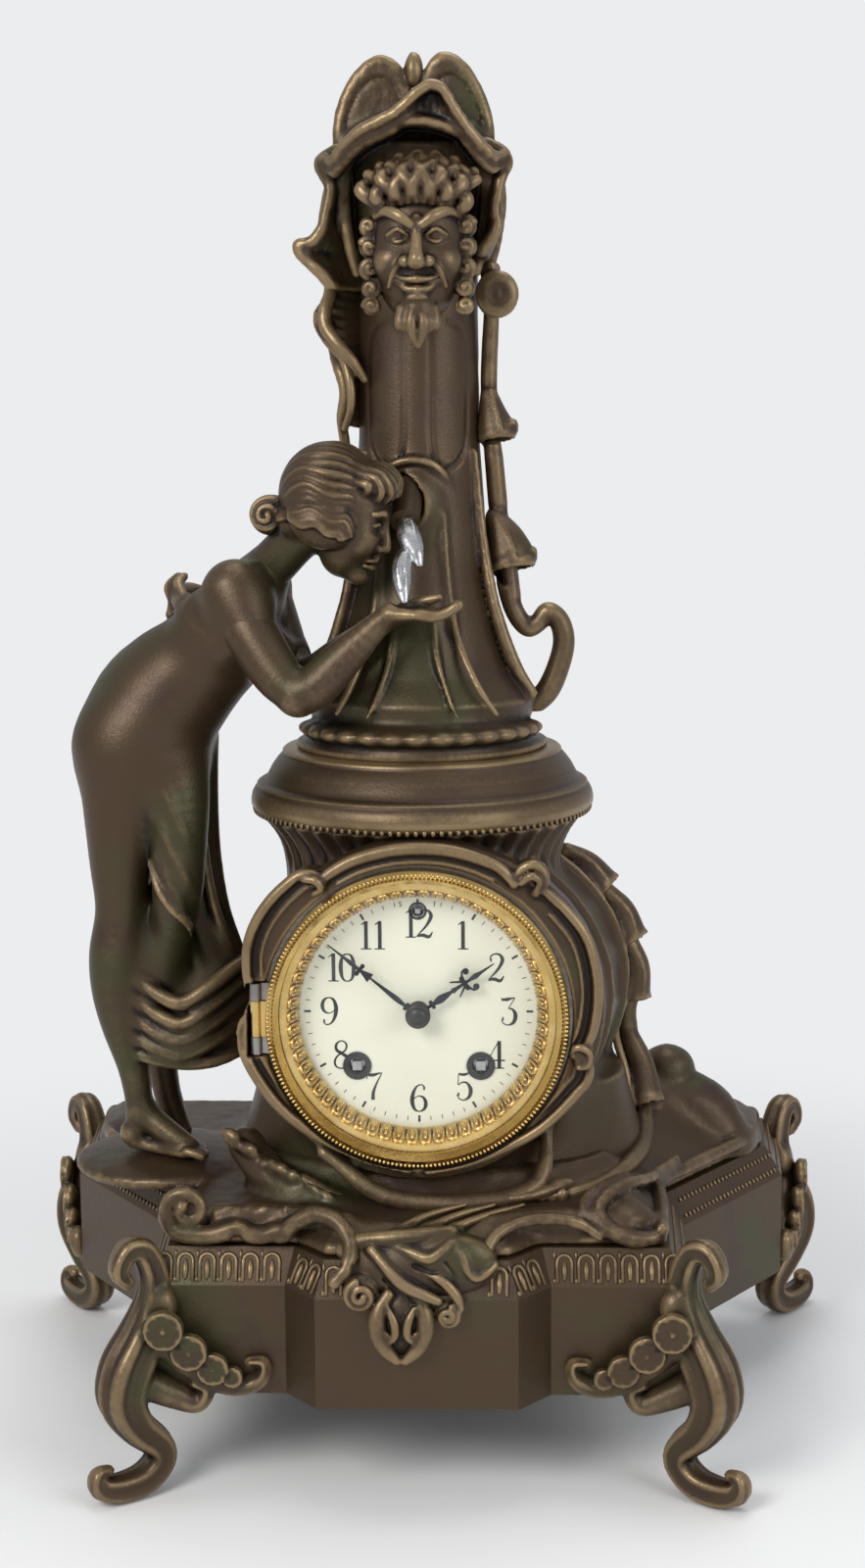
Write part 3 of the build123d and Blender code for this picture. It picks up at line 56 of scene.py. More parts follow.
def curvePoints(rows, steps):                # smooth line through rows; radii travel with the places
    p = np.asarray(rows, float)
    if len(p) == 2:
        t = np.linspace(0, 1, steps + 1)[:, None]
        return p[0] * (1 - t) + p[1] * t
    ext = np.vstack([2 * p[0] - p[1], p, 2 * p[-1] - p[-2]])
    t = np.linspace(0, 1, steps, endpoint=False)[:, None]
    out = []
    for i in range(len(p) - 1):
        a, b, c, d = ext[i:i + 4]
        out.append(0.5 * (2 * b + (c - a) * t + (2 * a - 5 * b + 4 * c - d) * t ** 2
                          + (3 * b - a - 3 * c + d) * t ** 3))
    return np.vstack(out + [p[-1:]])


def softMin(a, b, k):
    h = np.maximum(k - np.abs(a - b), 0) / k
    return np.minimum(a, b) - h * h * k / 4


def shared(first, *more):                    # distance to what several shapes have in common
    for d in more:
        first = np.maximum(first, d)
    return first


def outlineDistance(px, py, outline):        # signed distance to a closed outline in a plane
    v = np.asarray(outline, float)
    best, inside = None, None
    for i in range(len(v)):
        a, b = v[i - 1], v[i]
        ex, ey = b - a
        wx, wy = px - a[0], py - a[1]
        t = np.clip((wx * ex + wy * ey) / (ex * ex + ey * ey), 0, 1)
        d = (wx - ex * t) ** 2 + (wy - ey * t) ** 2
        cross = ((a[1] <= py) != (b[1] <= py)) & (wx < ex * wy / (ey if abs(ey) > 1e-9 else 1e-9))
        best = d if best is None else np.minimum(best, d)
        inside = cross if inside is None else inside ^ cross
    return np.where(inside, -1, 1) * np.sqrt(best)


class Clay:                                  # a block of distances that shapes are pressed into or cut from
    def __init__(self, low, high, pitch):
        self.low = np.array(low, float)
        self.pitch = pitch * coarse
        self.size = np.ceil((np.array(high, float) - self.low) / self.pitch).astype(int) + 1
        self.axes = [self.low[i] + self.pitch * np.arange(self.size[i]) for i in range(3)]
        self.field = np.full(self.size, farAway, np.float32)

    def window(self, low, high):
        out = []
        for i in range(3):
            a = max(0, math.floor((low[i] - self.low[i]) / self.pitch))
            b = min(int(self.size[i]), math.ceil((high[i] - self.low[i]) / self.pitch) + 1)
            if b <= a:
                return None
            out.append(slice(a, b))
        return tuple(out)

    def grid(self, win=None):
        win = win or (slice(None),) * 3
        return (self.axes[0][win[0]][:, None, None], self.axes[1][win[1]][None, :, None],
                self.axes[2][win[2]][None, None, :])

    def press(self, d, blend, carve=False, win=None):
        win = win or (slice(None),) * 3
        f = self.field[win]
        k = max(blend, 1e-3)
        self.field[win] = -softMin(-f, d, k) if carve else softMin(f, d, k)

    def ball(self, place, radii, blend=2.0, carve=False, turn=None):
        r = np.array(radii if hasattr(radii, "__len__") else (radii,) * 3, float)
        reach = r.max() + blend + 3 * self.pitch
        win = self.window(np.array(place) - reach, np.array(place) + reach)
        if win is None:
            return
        x, y, z = self.grid(win)
        q = (x - place[0], y - place[1], z - place[2])
        if turn is not None:
            q = [a[0] * q[0] + a[1] * q[1] + a[2] * q[2] for a in np.asarray(turn, float)]
        n = [q[i] / r[i] for i in range(3)]
        k0 = np.sqrt(n[0] ** 2 + n[1] ** 2 + n[2] ** 2)
        k1 = np.sqrt((n[0] / r[0]) ** 2 + (n[1] / r[1]) ** 2 + (n[2] / r[2]) ** 2) + 1e-6
        self.press(k0 * (k0 - 1) / k1, blend, carve, win)

    def stroke(self, rows, blend=2.0, carve=False, side=None, steps=5):
        pts = curvePoints(rows, steps)       # x y z radius, or x y z wide thin with side the wide way
        place, wide, thin = pts[:, :3], pts[:, 3], pts[:, -1]
        pad = blend + 3 * self.pitch
        reach = np.maximum(wide, thin)[:, None] + pad
        win = self.window((place - reach).min(0), (place + reach).max(0))
        if win is None:
            return
        d = np.full([s.stop - s.start for s in win], 1e3, np.float32)
        for i in range(len(pts) - 1):
            a, b = place[i], place[i + 1]
            r = max(reach[i, 0], reach[i + 1, 0])
            sub = self.window(np.minimum(a, b) - r, np.maximum(a, b) + r)
            ab = b - a
            span = ab @ ab
            if sub is None or span < 1e-9:
                continue
            sub = tuple(slice(max(c.start, o.start), min(c.stop, o.stop)) for c, o in zip(sub, win))
            x, y, z = self.grid(sub)
            p = (x - a[0], y - a[1], z - a[2])
            t = np.clip((p[0] * ab[0] + p[1] * ab[1] + p[2] * ab[2]) / span, 0, 1)
            q = [p[c] - t * ab[c] for c in range(3)]
            w = wide[i] + (wide[i + 1] - wide[i]) * t
            if side is None:
                dist = np.sqrt(q[0] ** 2 + q[1] ** 2 + q[2] ** 2) - w
            else:
                h = thin[i] + (thin[i + 1] - thin[i]) * t
                along = ab / math.sqrt(span)
                s = unit(np.asarray(side, float) - along * np.dot(side, along))
                n = np.cross(along, s)
                ds = (q[0] * s[0] + q[1] * s[1] + q[2] * s[2]) / w
                dn = (q[0] * n[0] + q[1] * n[1] + q[2] * n[2]) / h
                m = np.minimum(w, h)
                dt = (q[0] * along[0] + q[1] * along[1] + q[2] * along[2]) / m
                k0 = np.sqrt(ds ** 2 + dn ** 2 + dt ** 2)
                dist = k0 * (k0 - 1) / (np.sqrt((ds / w) ** 2 + (dn / h) ** 2 + (dt / m) ** 2) + 1e-6)
            part = tuple(slice(c.start - o.start, c.stop - o.start) for c, o in zip(sub, win))
            np.minimum(d[part], dist, out=d[part])
        self.press(d, blend, carve, win)

    def slab(self, outline, axis, low, high, rounding=0.5, blend=0.5, carve=False):
        along = [i for i in range(3) if i != axis]  # outline drawn in the other two axes
        flat = np.asarray(outline, float)
        lo, hi = np.zeros(3), np.zeros(3)
        lo[along], hi[along] = flat.min(0), flat.max(0)
        lo[axis], hi[axis] = low, high
        pad = blend + 3 * self.pitch
        win = self.window(lo - pad, hi + pad)
        if win is None:
            return
        g = self.grid(win)
        d2 = outlineDistance(g[along[0]], g[along[1]], flat) + rounding
        dh = np.abs(g[axis] - (low + high) / 2) - (high - low) / 2 + rounding
        d = np.minimum(np.maximum(d2, dh), 0) + np.sqrt(np.maximum(d2, 0) ** 2 + np.maximum(dh, 0) ** 2)
        self.press(d - rounding, blend, carve, win)

    def cut(self, d, blend=0.5):             # keeps what lies where d is negative
        self.field = -softMin(-self.field, -d, blend).astype(np.float32)

    def floorAt(self, level, blend):         # cuts off what hangs below a level
        self.cut(np.broadcast_to(level - self.grid()[2], self.field.shape), blend)

    def net(self, settle=2):                 # skin of the clay as vertices and quads
        f = np.pad(self.field, 1, constant_values=farAway)
        inside = f < 0
        n = np.array(f.shape)
        count = np.zeros(n - 1, np.int8)
        corners = [(i, j, k) for i in (0, 1) for j in (0, 1) for k in (0, 1)]
        for i, j, k in corners:
            count += inside[i:n[0] - 1 + i, j:n[1] - 1 + j, k:n[2] - 1 + k]
        cells = np.argwhere((count > 0) & (count < 8))
        index = np.full(n - 1, -1, np.int64)
        index[tuple(cells.T)] = np.arange(len(cells))
        total, hits = np.zeros((len(cells), 3)), np.zeros(len(cells))
        for a in corners:
            for axis in range(3):
                if a[axis]:
                    continue
                b = list(a)
                b[axis] = 1
                fa, fb = f[tuple((cells + a).T)], f[tuple((cells + b).T)]
                crossing = (fa < 0) != (fb < 0)
                t = np.where(crossing, fa / np.where(crossing, fa - fb, 1), 0)
                spot = np.repeat(np.array([a], float), len(cells), 0)
                spot[:, axis] = t
                total += spot * crossing[:, None]
                hits += crossing
        verts = (cells + total / hits[:, None] - 1) * self.pitch + self.low
        quads = []
        for axis in range(3):
            u, v = (axis + 1) % 3, (axis + 2) % 3
            lo, hi = [slice(1, -1)] * 3, [slice(1, -1)] * 3
            lo[axis], hi[axis] = slice(0, -1), slice(1, None)
            change = inside[tuple(lo)] != inside[tuple(hi)]
            spots = np.argwhere(change)
            shift = np.ones(3, int)
            shift[axis] = 0
            spots = spots + shift
            out = inside[tuple(spots.T)]
            ring = []
            for du, dv in ((-1, -1), (0, -1), (0, 0), (-1, 0)):
                c = spots.copy()
                c[:, u] += du
                c[:, v] += dv
                ring.append(index[tuple(c.T)])
            q = np.stack(ring, 1)
            quads.append(np.where(out[:, None], q, q[:, ::-1]))
        quads = np.vstack(quads)
        for _ in range(settle):
            verts = verts + 0.5 * (neighbourMean(verts, quads) - verts)
        return verts, quads


def neighbourMean(verts, quads):
    a = np.concatenate([quads[:, i] for i in range(4)] + [quads[:, i] for i in (1, 2, 3, 0)])
    b = np.concatenate([quads[:, i] for i in (1, 2, 3, 0)] + [quads[:, i] for i in range(4)])
    count = np.bincount(a, minlength=len(verts))
    return np.stack([np.bincount(a, verts[b, c], len(verts)) for c in range(3)], 1) / np.maximum(count, 1)[:, None]


def vertexNormals(verts, quads):
    face = np.cross(verts[quads[:, 2]] - verts[quads[:, 0]], verts[quads[:, 3]] - verts[quads[:, 1]])
    out = np.zeros_like(verts)
    for i in range(4):
        for c in range(3):
            out[:, c] += np.bincount(quads[:, i], face[:, c], len(verts))
    return out / np.maximum(np.linalg.norm(out, axis=1), 1e-9)[:, None]


def lumps(points, scale, seed):              # soft lattice noise, about -1 to 1
    table = np.random.default_rng(seed).uniform(-1, 1, 4096)
    p = points / scale
    cell = np.floor(p).astype(np.int64)
    t = p - cell
    t = t * t * (3 - 2 * t)
    total = 0
    for corner in ((i, j, k) for i in (0, 1) for j in (0, 1) for k in (0, 1)):
        i, j, k = (cell[:, c] + corner[c] for c in range(3))
        u, v, w = (t[:, c] if corner[c] else 1 - t[:, c] for c in range(3))
        total = total + table[(i * 73856093 ^ j * 19349663 ^ k * 83492791) & 4095] * (u * v * w)
    return total


def makeMesh(name, verts, faces):            # faces: quads or a list of rings
    mesh = bpy.data.meshes.new(name)
    if isinstance(faces, np.ndarray):
        mesh.vertices.add(len(verts))
        mesh.vertices.foreach_set("co", (verts * mm).astype(np.float32).ravel())
        mesh.loops.add(faces.size)
        mesh.loops.foreach_set("vertex_index", faces.astype(np.int32).ravel())
        mesh.polygons.add(len(faces))
        mesh.polygons.foreach_set("loop_start", (np.arange(len(faces)) * faces.shape[1]).astype(np.int32))
        mesh.update(calc_edges=True)
        mesh.validate()
    else:
        mesh.from_pydata([tuple(v) for v in np.asarray(verts) * mm], [], [tuple(f) for f in faces])
        mesh.update()
    mesh.shade_smooth()
    return mesh


def faceOut(mesh):                           # turns every face of closed pieces outwards
    bm = bmesh.new()
    bm.from_mesh(mesh)
    bmesh.ops.recalc_face_normals(bm, faces=bm.faces)
    bm.to_mesh(mesh)
    bm.free()
    return mesh


def addObject(name, data):
    obj = bpy.data.objects.new(name, data)
    scene.collection.objects.link(obj)
    return obj


def pointValues(mesh, label, values):
    mesh.attributes.new(label, "FLOAT", "POINT").data.foreach_set("value", values.astype(np.float32))


def place(name, mesh, material, body, stands, slot):
    obj = addObject(name, mesh)
    mesh.materials.clear()
    mesh.materials.append(material)
    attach(obj, body)
    if stands:
        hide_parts(*stands)
    return obj


def reliefOf(verts, quads):                  # how far each point stands proud of what lies a few mm round it
    normals = vertexNormals(verts, quads)
    edge = np.linalg.norm(verts[quads[:, 0]] - verts[quads[:, 1]], axis=1).mean()
    steps = int(np.clip(7 / edge ** 2, 2, 30))
    soft = verts
    fine = None
    for i in range(steps * 3):
        soft = neighbourMean(soft, quads)
        if i == steps - 1:
            fine = np.einsum("ij,ij->i", verts - soft, normals)
    broad = np.einsum("ij,ij->i", verts - soft, normals)
    return fine, broad


def sculpted(name, clay, material, stands, settle=2, rough=(), slot="bronzed_spelter"):
    verts, quads = clay.net(settle) if isinstance(clay, Clay) else clay
    for size, height, seed in rough:
        verts = verts + vertexNormals(verts, quads) * (height * lumps(verts, size, seed))[:, None]
    fine, broad = reliefOf(verts, quads)
    mesh = makeMesh(name, verts, quads)
    pointValues(mesh, "relief", fine)
    pointValues(mesh, "swell", broad)
    print(name, len(quads), "quads")
    return place(name, mesh, material, "case", stands, slot)


# finishes
def addNode(tree, kind, props=None, values=None):
    node = tree.nodes.new(kind)
    for key, value in (props or {}).items():
        setattr(node, key, value)
    for key, value in (values or {}).items():
        node.inputs[key].default_value = value
    return node


def noiseNode(tree, coords, scale, detail=3.0, rough=0.55):
    node = addNode(tree, "ShaderNodeTexNoise", None, {"Scale": scale, "Detail": detail, "Roughness": rough})
    tree.links.new(coords, node.inputs["Vector"])
    return node.outputs["Fac"]


def span(tree, value, low, high, outLow=0.0, outHigh=1.0):
    node = addNode(tree, "ShaderNodeMapRange", {"interpolation_type": "SMOOTHSTEP"},
                   {"From Min": low, "From Max": high, "To Min": outLow, "To Max": outHigh})
    tree.links.new(value, node.inputs["Value"])
    return node.outputs["Result"]


def blendColour(tree, factor, first, second):
    node = addNode(tree, "ShaderNodeMix", {"data_type": "RGBA"})
    tree.links.new(factor, node.inputs[0])
    for socket, value in ((node.inputs[6], first), (node.inputs[7], second)):
        if hasattr(value, "is_linked"):
            tree.links.new(value, socket)
        else:
            socket.default_value = (*value, 1.0)
    return node.outputs[2]


def maths(tree, operation, a, b):
    node = addNode(tree, "ShaderNodeMath", {"operation": operation})
    for socket, value in zip(node.inputs, (a, b)):
        if hasattr(value, "is_linked"):
            tree.links.new(value, socket)
        else:
            socket.default_value = value
    return node.outputs[0]


def newFinish(name, metallic, roughness, specular=0.5):
    material = bpy.data.materials.new(name)
    material.use_nodes = True
    tree = material.node_tree
    shader = tree.nodes["Principled BSDF"]
    shader.inputs["Metallic"].default_value = metallic
    shader.inputs["Roughness"].default_value = roughness
    shader.inputs["Specular IOR Level"].default_value = specular
    coords = addNode(tree, "ShaderNodeTexCoord").outputs["Object"]
    return material, tree, shader, coords


def addBump(tree, shader, height, strength, distance):
    bump = addNode(tree, "ShaderNodeBump", None, {"Strength": strength, "Distance": distance})
    tree.links.new(height, bump.inputs["Height"])
    tree.links.new(bump.outputs["Normal"], shader.inputs["Normal"])


# painted shade: the near-black colour and its two levels darken the hollows found by the relief attribute
bronzeLook = {"base": (0.068, 0.042, 0.022), "olive": (0.057, 0.051, 0.022), "plum": (0.058, 0.034, 0.024),
              # the gold colour and its two levels are worn rub on raised points together with a painted highlight
              "paintedShade": (0.012, 0.008, 0.006), "rubAndHighlight": (0.28, 0.195, 0.10), "metallic": 0.55, "roughness": 0.4,
              "rubAndHighlightLow": 0.18, "rubAndHighlightHigh": 0.75, "paintedShadeLow": -0.10, "paintedShadeHigh": -0.6}


def bronzeFinish(name, look, stipple=0.0):
    material, tree, shader, coords = newFinish(name, look["metallic"], look["roughness"], 0.5)
    patch = noiseNode(tree, coords, 15.0, 3.0)
    cloud = noiseNode(tree, coords, 34.0, 4.0)
    speck = noiseNode(tree, coords, 520.0, 3.0, 0.7)
    colour = blendColour(tree, span(tree, patch, 0.5, 0.68), look["base"], look["olive"])
    colour = blendColour(tree, span(tree, cloud, 0.52, 0.7), colour, look["plum"])
    relief = addNode(tree, "ShaderNodeAttribute", {"attribute_name": "relief"}).outputs["Fac"]
    swell = addNode(tree, "ShaderNodeAttribute", {"attribute_name": "swell"}).outputs["Fac"]
    height = maths(tree, "ADD", maths(tree, "MULTIPLY", swell, 0.10), relief)
    # worn rub and painted highlight: raised points, broken up by speckle, turn towards the gold colour
    rubAndHighlightHeight = maths(tree, "ADD", height, maths(tree, "MULTIPLY", maths(tree, "SUBTRACT", speck, 0.5), 0.35))
    rubAndHighlight = maths(tree, "MULTIPLY", span(tree, rubAndHighlightHeight, look["rubAndHighlightLow"], look["rubAndHighlightHigh"]),
                span(tree, cloud, 0.25, 0.6, 0.35, 0.85))
    # painted shade: hollows darkened towards the near-black colour
    colour = blendColour(tree, span(tree, height, look["paintedShadeLow"], look["paintedShadeHigh"]), colour, look["paintedShade"])
    colour = blendColour(tree, rubAndHighlight, colour, look["rubAndHighlight"])
    tree.links.new(colour, shader.inputs["Base Color"])
    rough = maths(tree, "ADD", maths(tree, "MULTIPLY", speck, 0.16), look["roughness"] - 0.06)
    tree.links.new(maths(tree, "SUBTRACT", rough, maths(tree, "MULTIPLY", rubAndHighlight, 0.08)), shader.inputs["Roughness"])
    grain = noiseNode(tree, coords, 900.0, 2.0)
    if stipple:
        grain = maths(tree, "ADD", grain, maths(tree, "MULTIPLY", noiseNode(tree, coords, 330.0, 1.0), stipple))
    addBump(tree, shader, grain, 0.35, 0.00035)
    return material


def metalFinish(name, low, high, roughness, scale, metallic=1.0, bump=0.15):
    material, tree, shader, coords = newFinish(name, metallic, roughness)
    cloud = noiseNode(tree, coords, scale, 4.0)
    tree.links.new(blendColour(tree, span(tree, cloud, 0.3, 0.7), low, high), shader.inputs["Base Color"])
    fine = noiseNode(tree, coords, scale * 14, 2.0)
    tree.links.new(span(tree, fine, 0.3, 0.7, roughness * 0.8, roughness * 1.3), shader.inputs["Roughness"])
    addBump(tree, shader, fine, bump, 0.0001)
    return material


bronze = bronzeFinish("bronzed spelter", bronzeLook)
bronzeStippled = bronzeFinish("stippled bronze", bronzeLook, 1.2)
# dimmer worn rub and painted highlight for the carried-over faces
bronzePlain = bronzeFinish("plain bronzed face", {**bronzeLook, "rubAndHighlight": (0.12, 0.08, 0.05)})
brass = metalFinish("polished brass", (0.55, 0.37, 0.13), (0.72, 0.51, 0.20), 0.2, 60)
gilt = metalFinish("gilt sight ring", (0.62, 0.42, 0.13), (0.80, 0.58, 0.22), 0.27, 90)
plateBrass = metalFinish("plate brass", (0.46, 0.33, 0.14), (0.60, 0.44, 0.20), 0.32, 50)
steel = metalFinish("bright steel", (0.36, 0.36, 0.37), (0.52, 0.52, 0.53), 0.3, 80)
bluedSteel = metalFinish("blued steel", (0.006, 0.007, 0.012), (0.015, 0.016, 0.028), 0.34, 90, 0.7)
iron = metalFinish("dark iron", (0.05, 0.048, 0.045), (0.10, 0.09, 0.08), 0.5, 60)
tin = metalFinish("tinned sheet", (0.24, 0.23, 0.22), (0.36, 0.35, 0.33), 0.42, 40)
silvered = metalFinish("silvered water", (0.30, 0.30, 0.31), (0.55, 0.55, 0.56), 0.3, 120)
blackPaint = metalFinish("black lacquer", (0.008, 0.008, 0.008), (0.02, 0.02, 0.019), 0.35, 90, 0.1)
ink = metalFinish("fired black numerals", (0.006, 0.006, 0.006), (0.012, 0.012, 0.012), 0.35, 200, 0.0, 0.05)


def enamelFinish():
    material, tree, shader, coords = newFinish("ivory porcelain", 0.0, 0.16)
    cloud = noiseNode(tree, coords, 26.0, 3.0)
    tree.links.new(blendColour(tree, span(tree, cloud, 0.3, 0.75), (0.80, 0.80, 0.66), (0.76, 0.755, 0.61)),
                   shader.inputs["Base Color"])
    shader.inputs["Coat Weight"].default_value = 0.3
    addBump(tree, shader, noiseNode(tree, coords, 140.0, 2.0), 0.06, 0.0002)
    return material


def glassFinish():
    material, tree, shader, coords = newFinish("dial glass", 0.0, 0.04, 0.12)
    shader.inputs["Base Color"].default_value = (0.9, 0.93, 0.92, 1)
    cloud = noiseNode(tree, coords, 40.0, 2.0)
    tree.links.new(span(tree, cloud, 0.3, 0.7, 0.012, 0.03), shader.inputs["Alpha"])
    return material


enamel = enamelFinish()
glass = glassFinish()
print("finishes made")


# studio
view = {"azimuth": 1.9, "distance": 1.0, "height": 0.448, "pitch": -9.24, "roll": -0.42, "shiftRight": 0.0045,
        "lens": 52.94, "sensor": 36.0}


def setCamera(v):
    a, p, r = (radians(v[k]) for k in ("azimuth", "pitch", "roll"))
    right = Vector((cos(a), sin(a), 0))
    spot = Vector((sin(a) * v["distance"], -cos(a) * v["distance"], v["height"])) + right * v["shiftRight"]
    ahead = Vector((-sin(a) * cos(p), cos(a) * cos(p), sin(p)))
    up = right.cross(ahead)
    right2 = right * cos(r) + up * sin(r)
    up2 = up * cos(r) - right * sin(r)
    camera = addObject("camera", bpy.data.cameras.new("camera"))
    camera.data.sensor_fit = "VERTICAL"
    camera.data.sensor_height = v["sensor"]
    camera.data.lens = v["lens"]
    turn = Matrix((right2, up2, -ahead)).transposed().to_4x4()
    camera.matrix_world = Matrix.Translation(spot) @ turn
    scene.camera = camera


def areaLight(name, spot, aim, size, watts, colour):
    lamp = bpy.data.lights.new(name, "AREA")
    lamp.shape = "DISK"
    lamp.size = size
    lamp.energy = watts
    lamp.color = colour
    obj = addObject(name, lamp)
    obj.location = spot
    obj.rotation_euler = (Vector(aim) - Vector(spot)).to_track_quat("-Z", "Y").to_euler()


studio = {"world": (0.55, 0.56, 0.58), "worldStrength": 0.75, "backdrop": (0.84, 0.845, 0.855),
          "floor": ((0.90, 0.905, 0.905), (0.94, 0.94, 0.94)), "floorHalf": 3000, "fade": (0.24, 0.62),
          "lamps": (("key", (-0.75, -1.15, 1.05), (-0.02, 0, 0.28), 0.75, 14, (1.0, 0.985, 0.96)),
                    ("fill", (1.0, -0.9, 0.75), (0, 0, 0.25), 0.9, 6, (0.96, 0.98, 1.0)),
                    ("top", (0.1, 0.15, 1.45), (0, 0, 0.2), 0.9, 5, (1.0, 1.0, 1.0)))}


def seenRays(tree):                          # camera, glossy and transmission rays see the pale backdrop
    path = addNode(tree, "ShaderNodeLightPath")
    seen = maths(tree, "MAXIMUM", path.outputs["Is Camera Ray"], path.outputs["Is Glossy Ray"])
    return path.outputs["Is Camera Ray"], maths(tree, "MAXIMUM", seen, path.outputs["Is Transmission Ray"])


def setWorld():
    scene.view_settings.view_transform = "Standard"
    world = bpy.data.worlds.new("studio")
    scene.world = world
    world.use_nodes = True
    tree = world.node_tree
    back = tree.nodes["Background"]
    direct, seen = seenRays(tree)
    colour = blendColour(tree, direct, studio["world"], studio["backdrop"])
    tree.links.new(colour, back.inputs["Color"])
    tree.links.new(span(tree, seen, 0.0, 1.0, studio["worldStrength"], 1.0), back.inputs["Strength"])


def setFloor():
    h = studio["floorHalf"]
    floorMesh = makeMesh("floor", np.array([(-h, -h, 0), (h, -h, 0), (h, h, 0), (-h, h, 0)], float), [(0, 1, 2, 3)])
    floor = addObject("floor", floorMesh)
    material, tree, shader, coords = newFinish("pale floor", 0.0, 0.6, 0.3)
    mottle = noiseNode(tree, coords, 9.0, 2.0)
    tree.links.new(blendColour(tree, mottle, *studio["floor"]), shader.inputs["Base Color"])
    distance = addNode(tree, "ShaderNodeVectorMath", {"operation": "LENGTH"})
    tree.links.new(coords, distance.inputs[0])
    far = span(tree, distance.outputs["Value"], *studio["fade"])
    far = maths(tree, "MULTIPLY", far, seenRays(tree)[1])  # fades into the backdrop
    glow = addNode(tree, "ShaderNodeEmission", values={"Color": (*studio["backdrop"], 1)})
    mix = addNode(tree, "ShaderNodeMixShader")
    tree.links.new(far, mix.inputs["Fac"])
    tree.links.new(shader.outputs[0], mix.inputs[1])
    tree.links.new(glow.outputs[0], mix.inputs[2])
    tree.links.new(mix.outputs[0], tree.nodes["Material Output"].inputs["Surface"])
    floorMesh.materials.append(material)


setCamera(view)
setWorld()
for lamp in studio["lamps"]:
    areaLight(*lamp)
setFloor()
print("studio set")


# woman
woman = {"pitch": 1.1, "armPitch": 0.75, "farArmPitch": 1.0, "headPitch": 0.55, "roll": 3.6,
         "hem": 166.5, "head": (-31, -41, 405), "headTilt": 18, "headTurn": 8, "headSize": 51.0, "drawnSize": 46.0}


def gownFolds(clay):
    for z, sag, lift in ((203, 9, 2), (193.5, 9, 3), (184, 7, 3.5), (175.5, 5, 3)):  # swags of the train
        clay.stroke([(-134, -22, z + 4, 2.0), (-124, -26, z + 1, 2.6), (-115, -28, z - sag * 0.6, 3.2),
                (-104, -29, z - sag, 3.6), (-92, -25, z - sag * 0.5 + lift, 3.6), (-82, -14, z + lift * 1.8, 3.2),
                (-75, -2, z + lift * 2.6, 2.6)], 2.4)
    clay.stroke([(-133, -20, 172, 2.0), (-123, -26, 169, 2.4), (-113, -28, 167, 2.6), (-101, -28.5, 166, 2.7),
            (-89, -25, 167, 2.6), (-79, -14, 169.5, 2.4), (-73, -2, 172, 2.0)], 1.6)  # hem
    for rows in ([(-97, -16, 306, 2.0), (-96, -14, 270, 2.2), (-93, -11, 240, 2.4), (-86, -7, 212, 2.2)],
                 [(-92, -4, 306, 2.0), (-92, -2, 264, 2.2), (-89, -1, 232, 2.4), (-82, 0, 210, 2.2)],
                 [(-117, -12, 246, 2.0), (-116, -13, 228, 2.2), (-113, -15, 212, 2.0)],
                 [(-106, -18, 228, 2.0), (-103, -15, 218, 2.2), (-98, -14, 208, 1.8)]):
        clay.stroke(rows, 3.0)
    for dz in (0, -19, -37):  # creases on the thigh
        clay.stroke([(-112, -37, 298 + dz, 0.8), (-106, -40.5, 286 + dz, 1.3), (-101, -40, 272 + dz, 1.2),
                (-98, -36, 262 + dz, 0.7)], 4.0)
    clay.stroke([(-116, -36, 258, 1.0), (-111, -41, 246, 1.8), (-104, -42, 236, 1.6), (-98, -36, 230, 1.0)], 2.2)


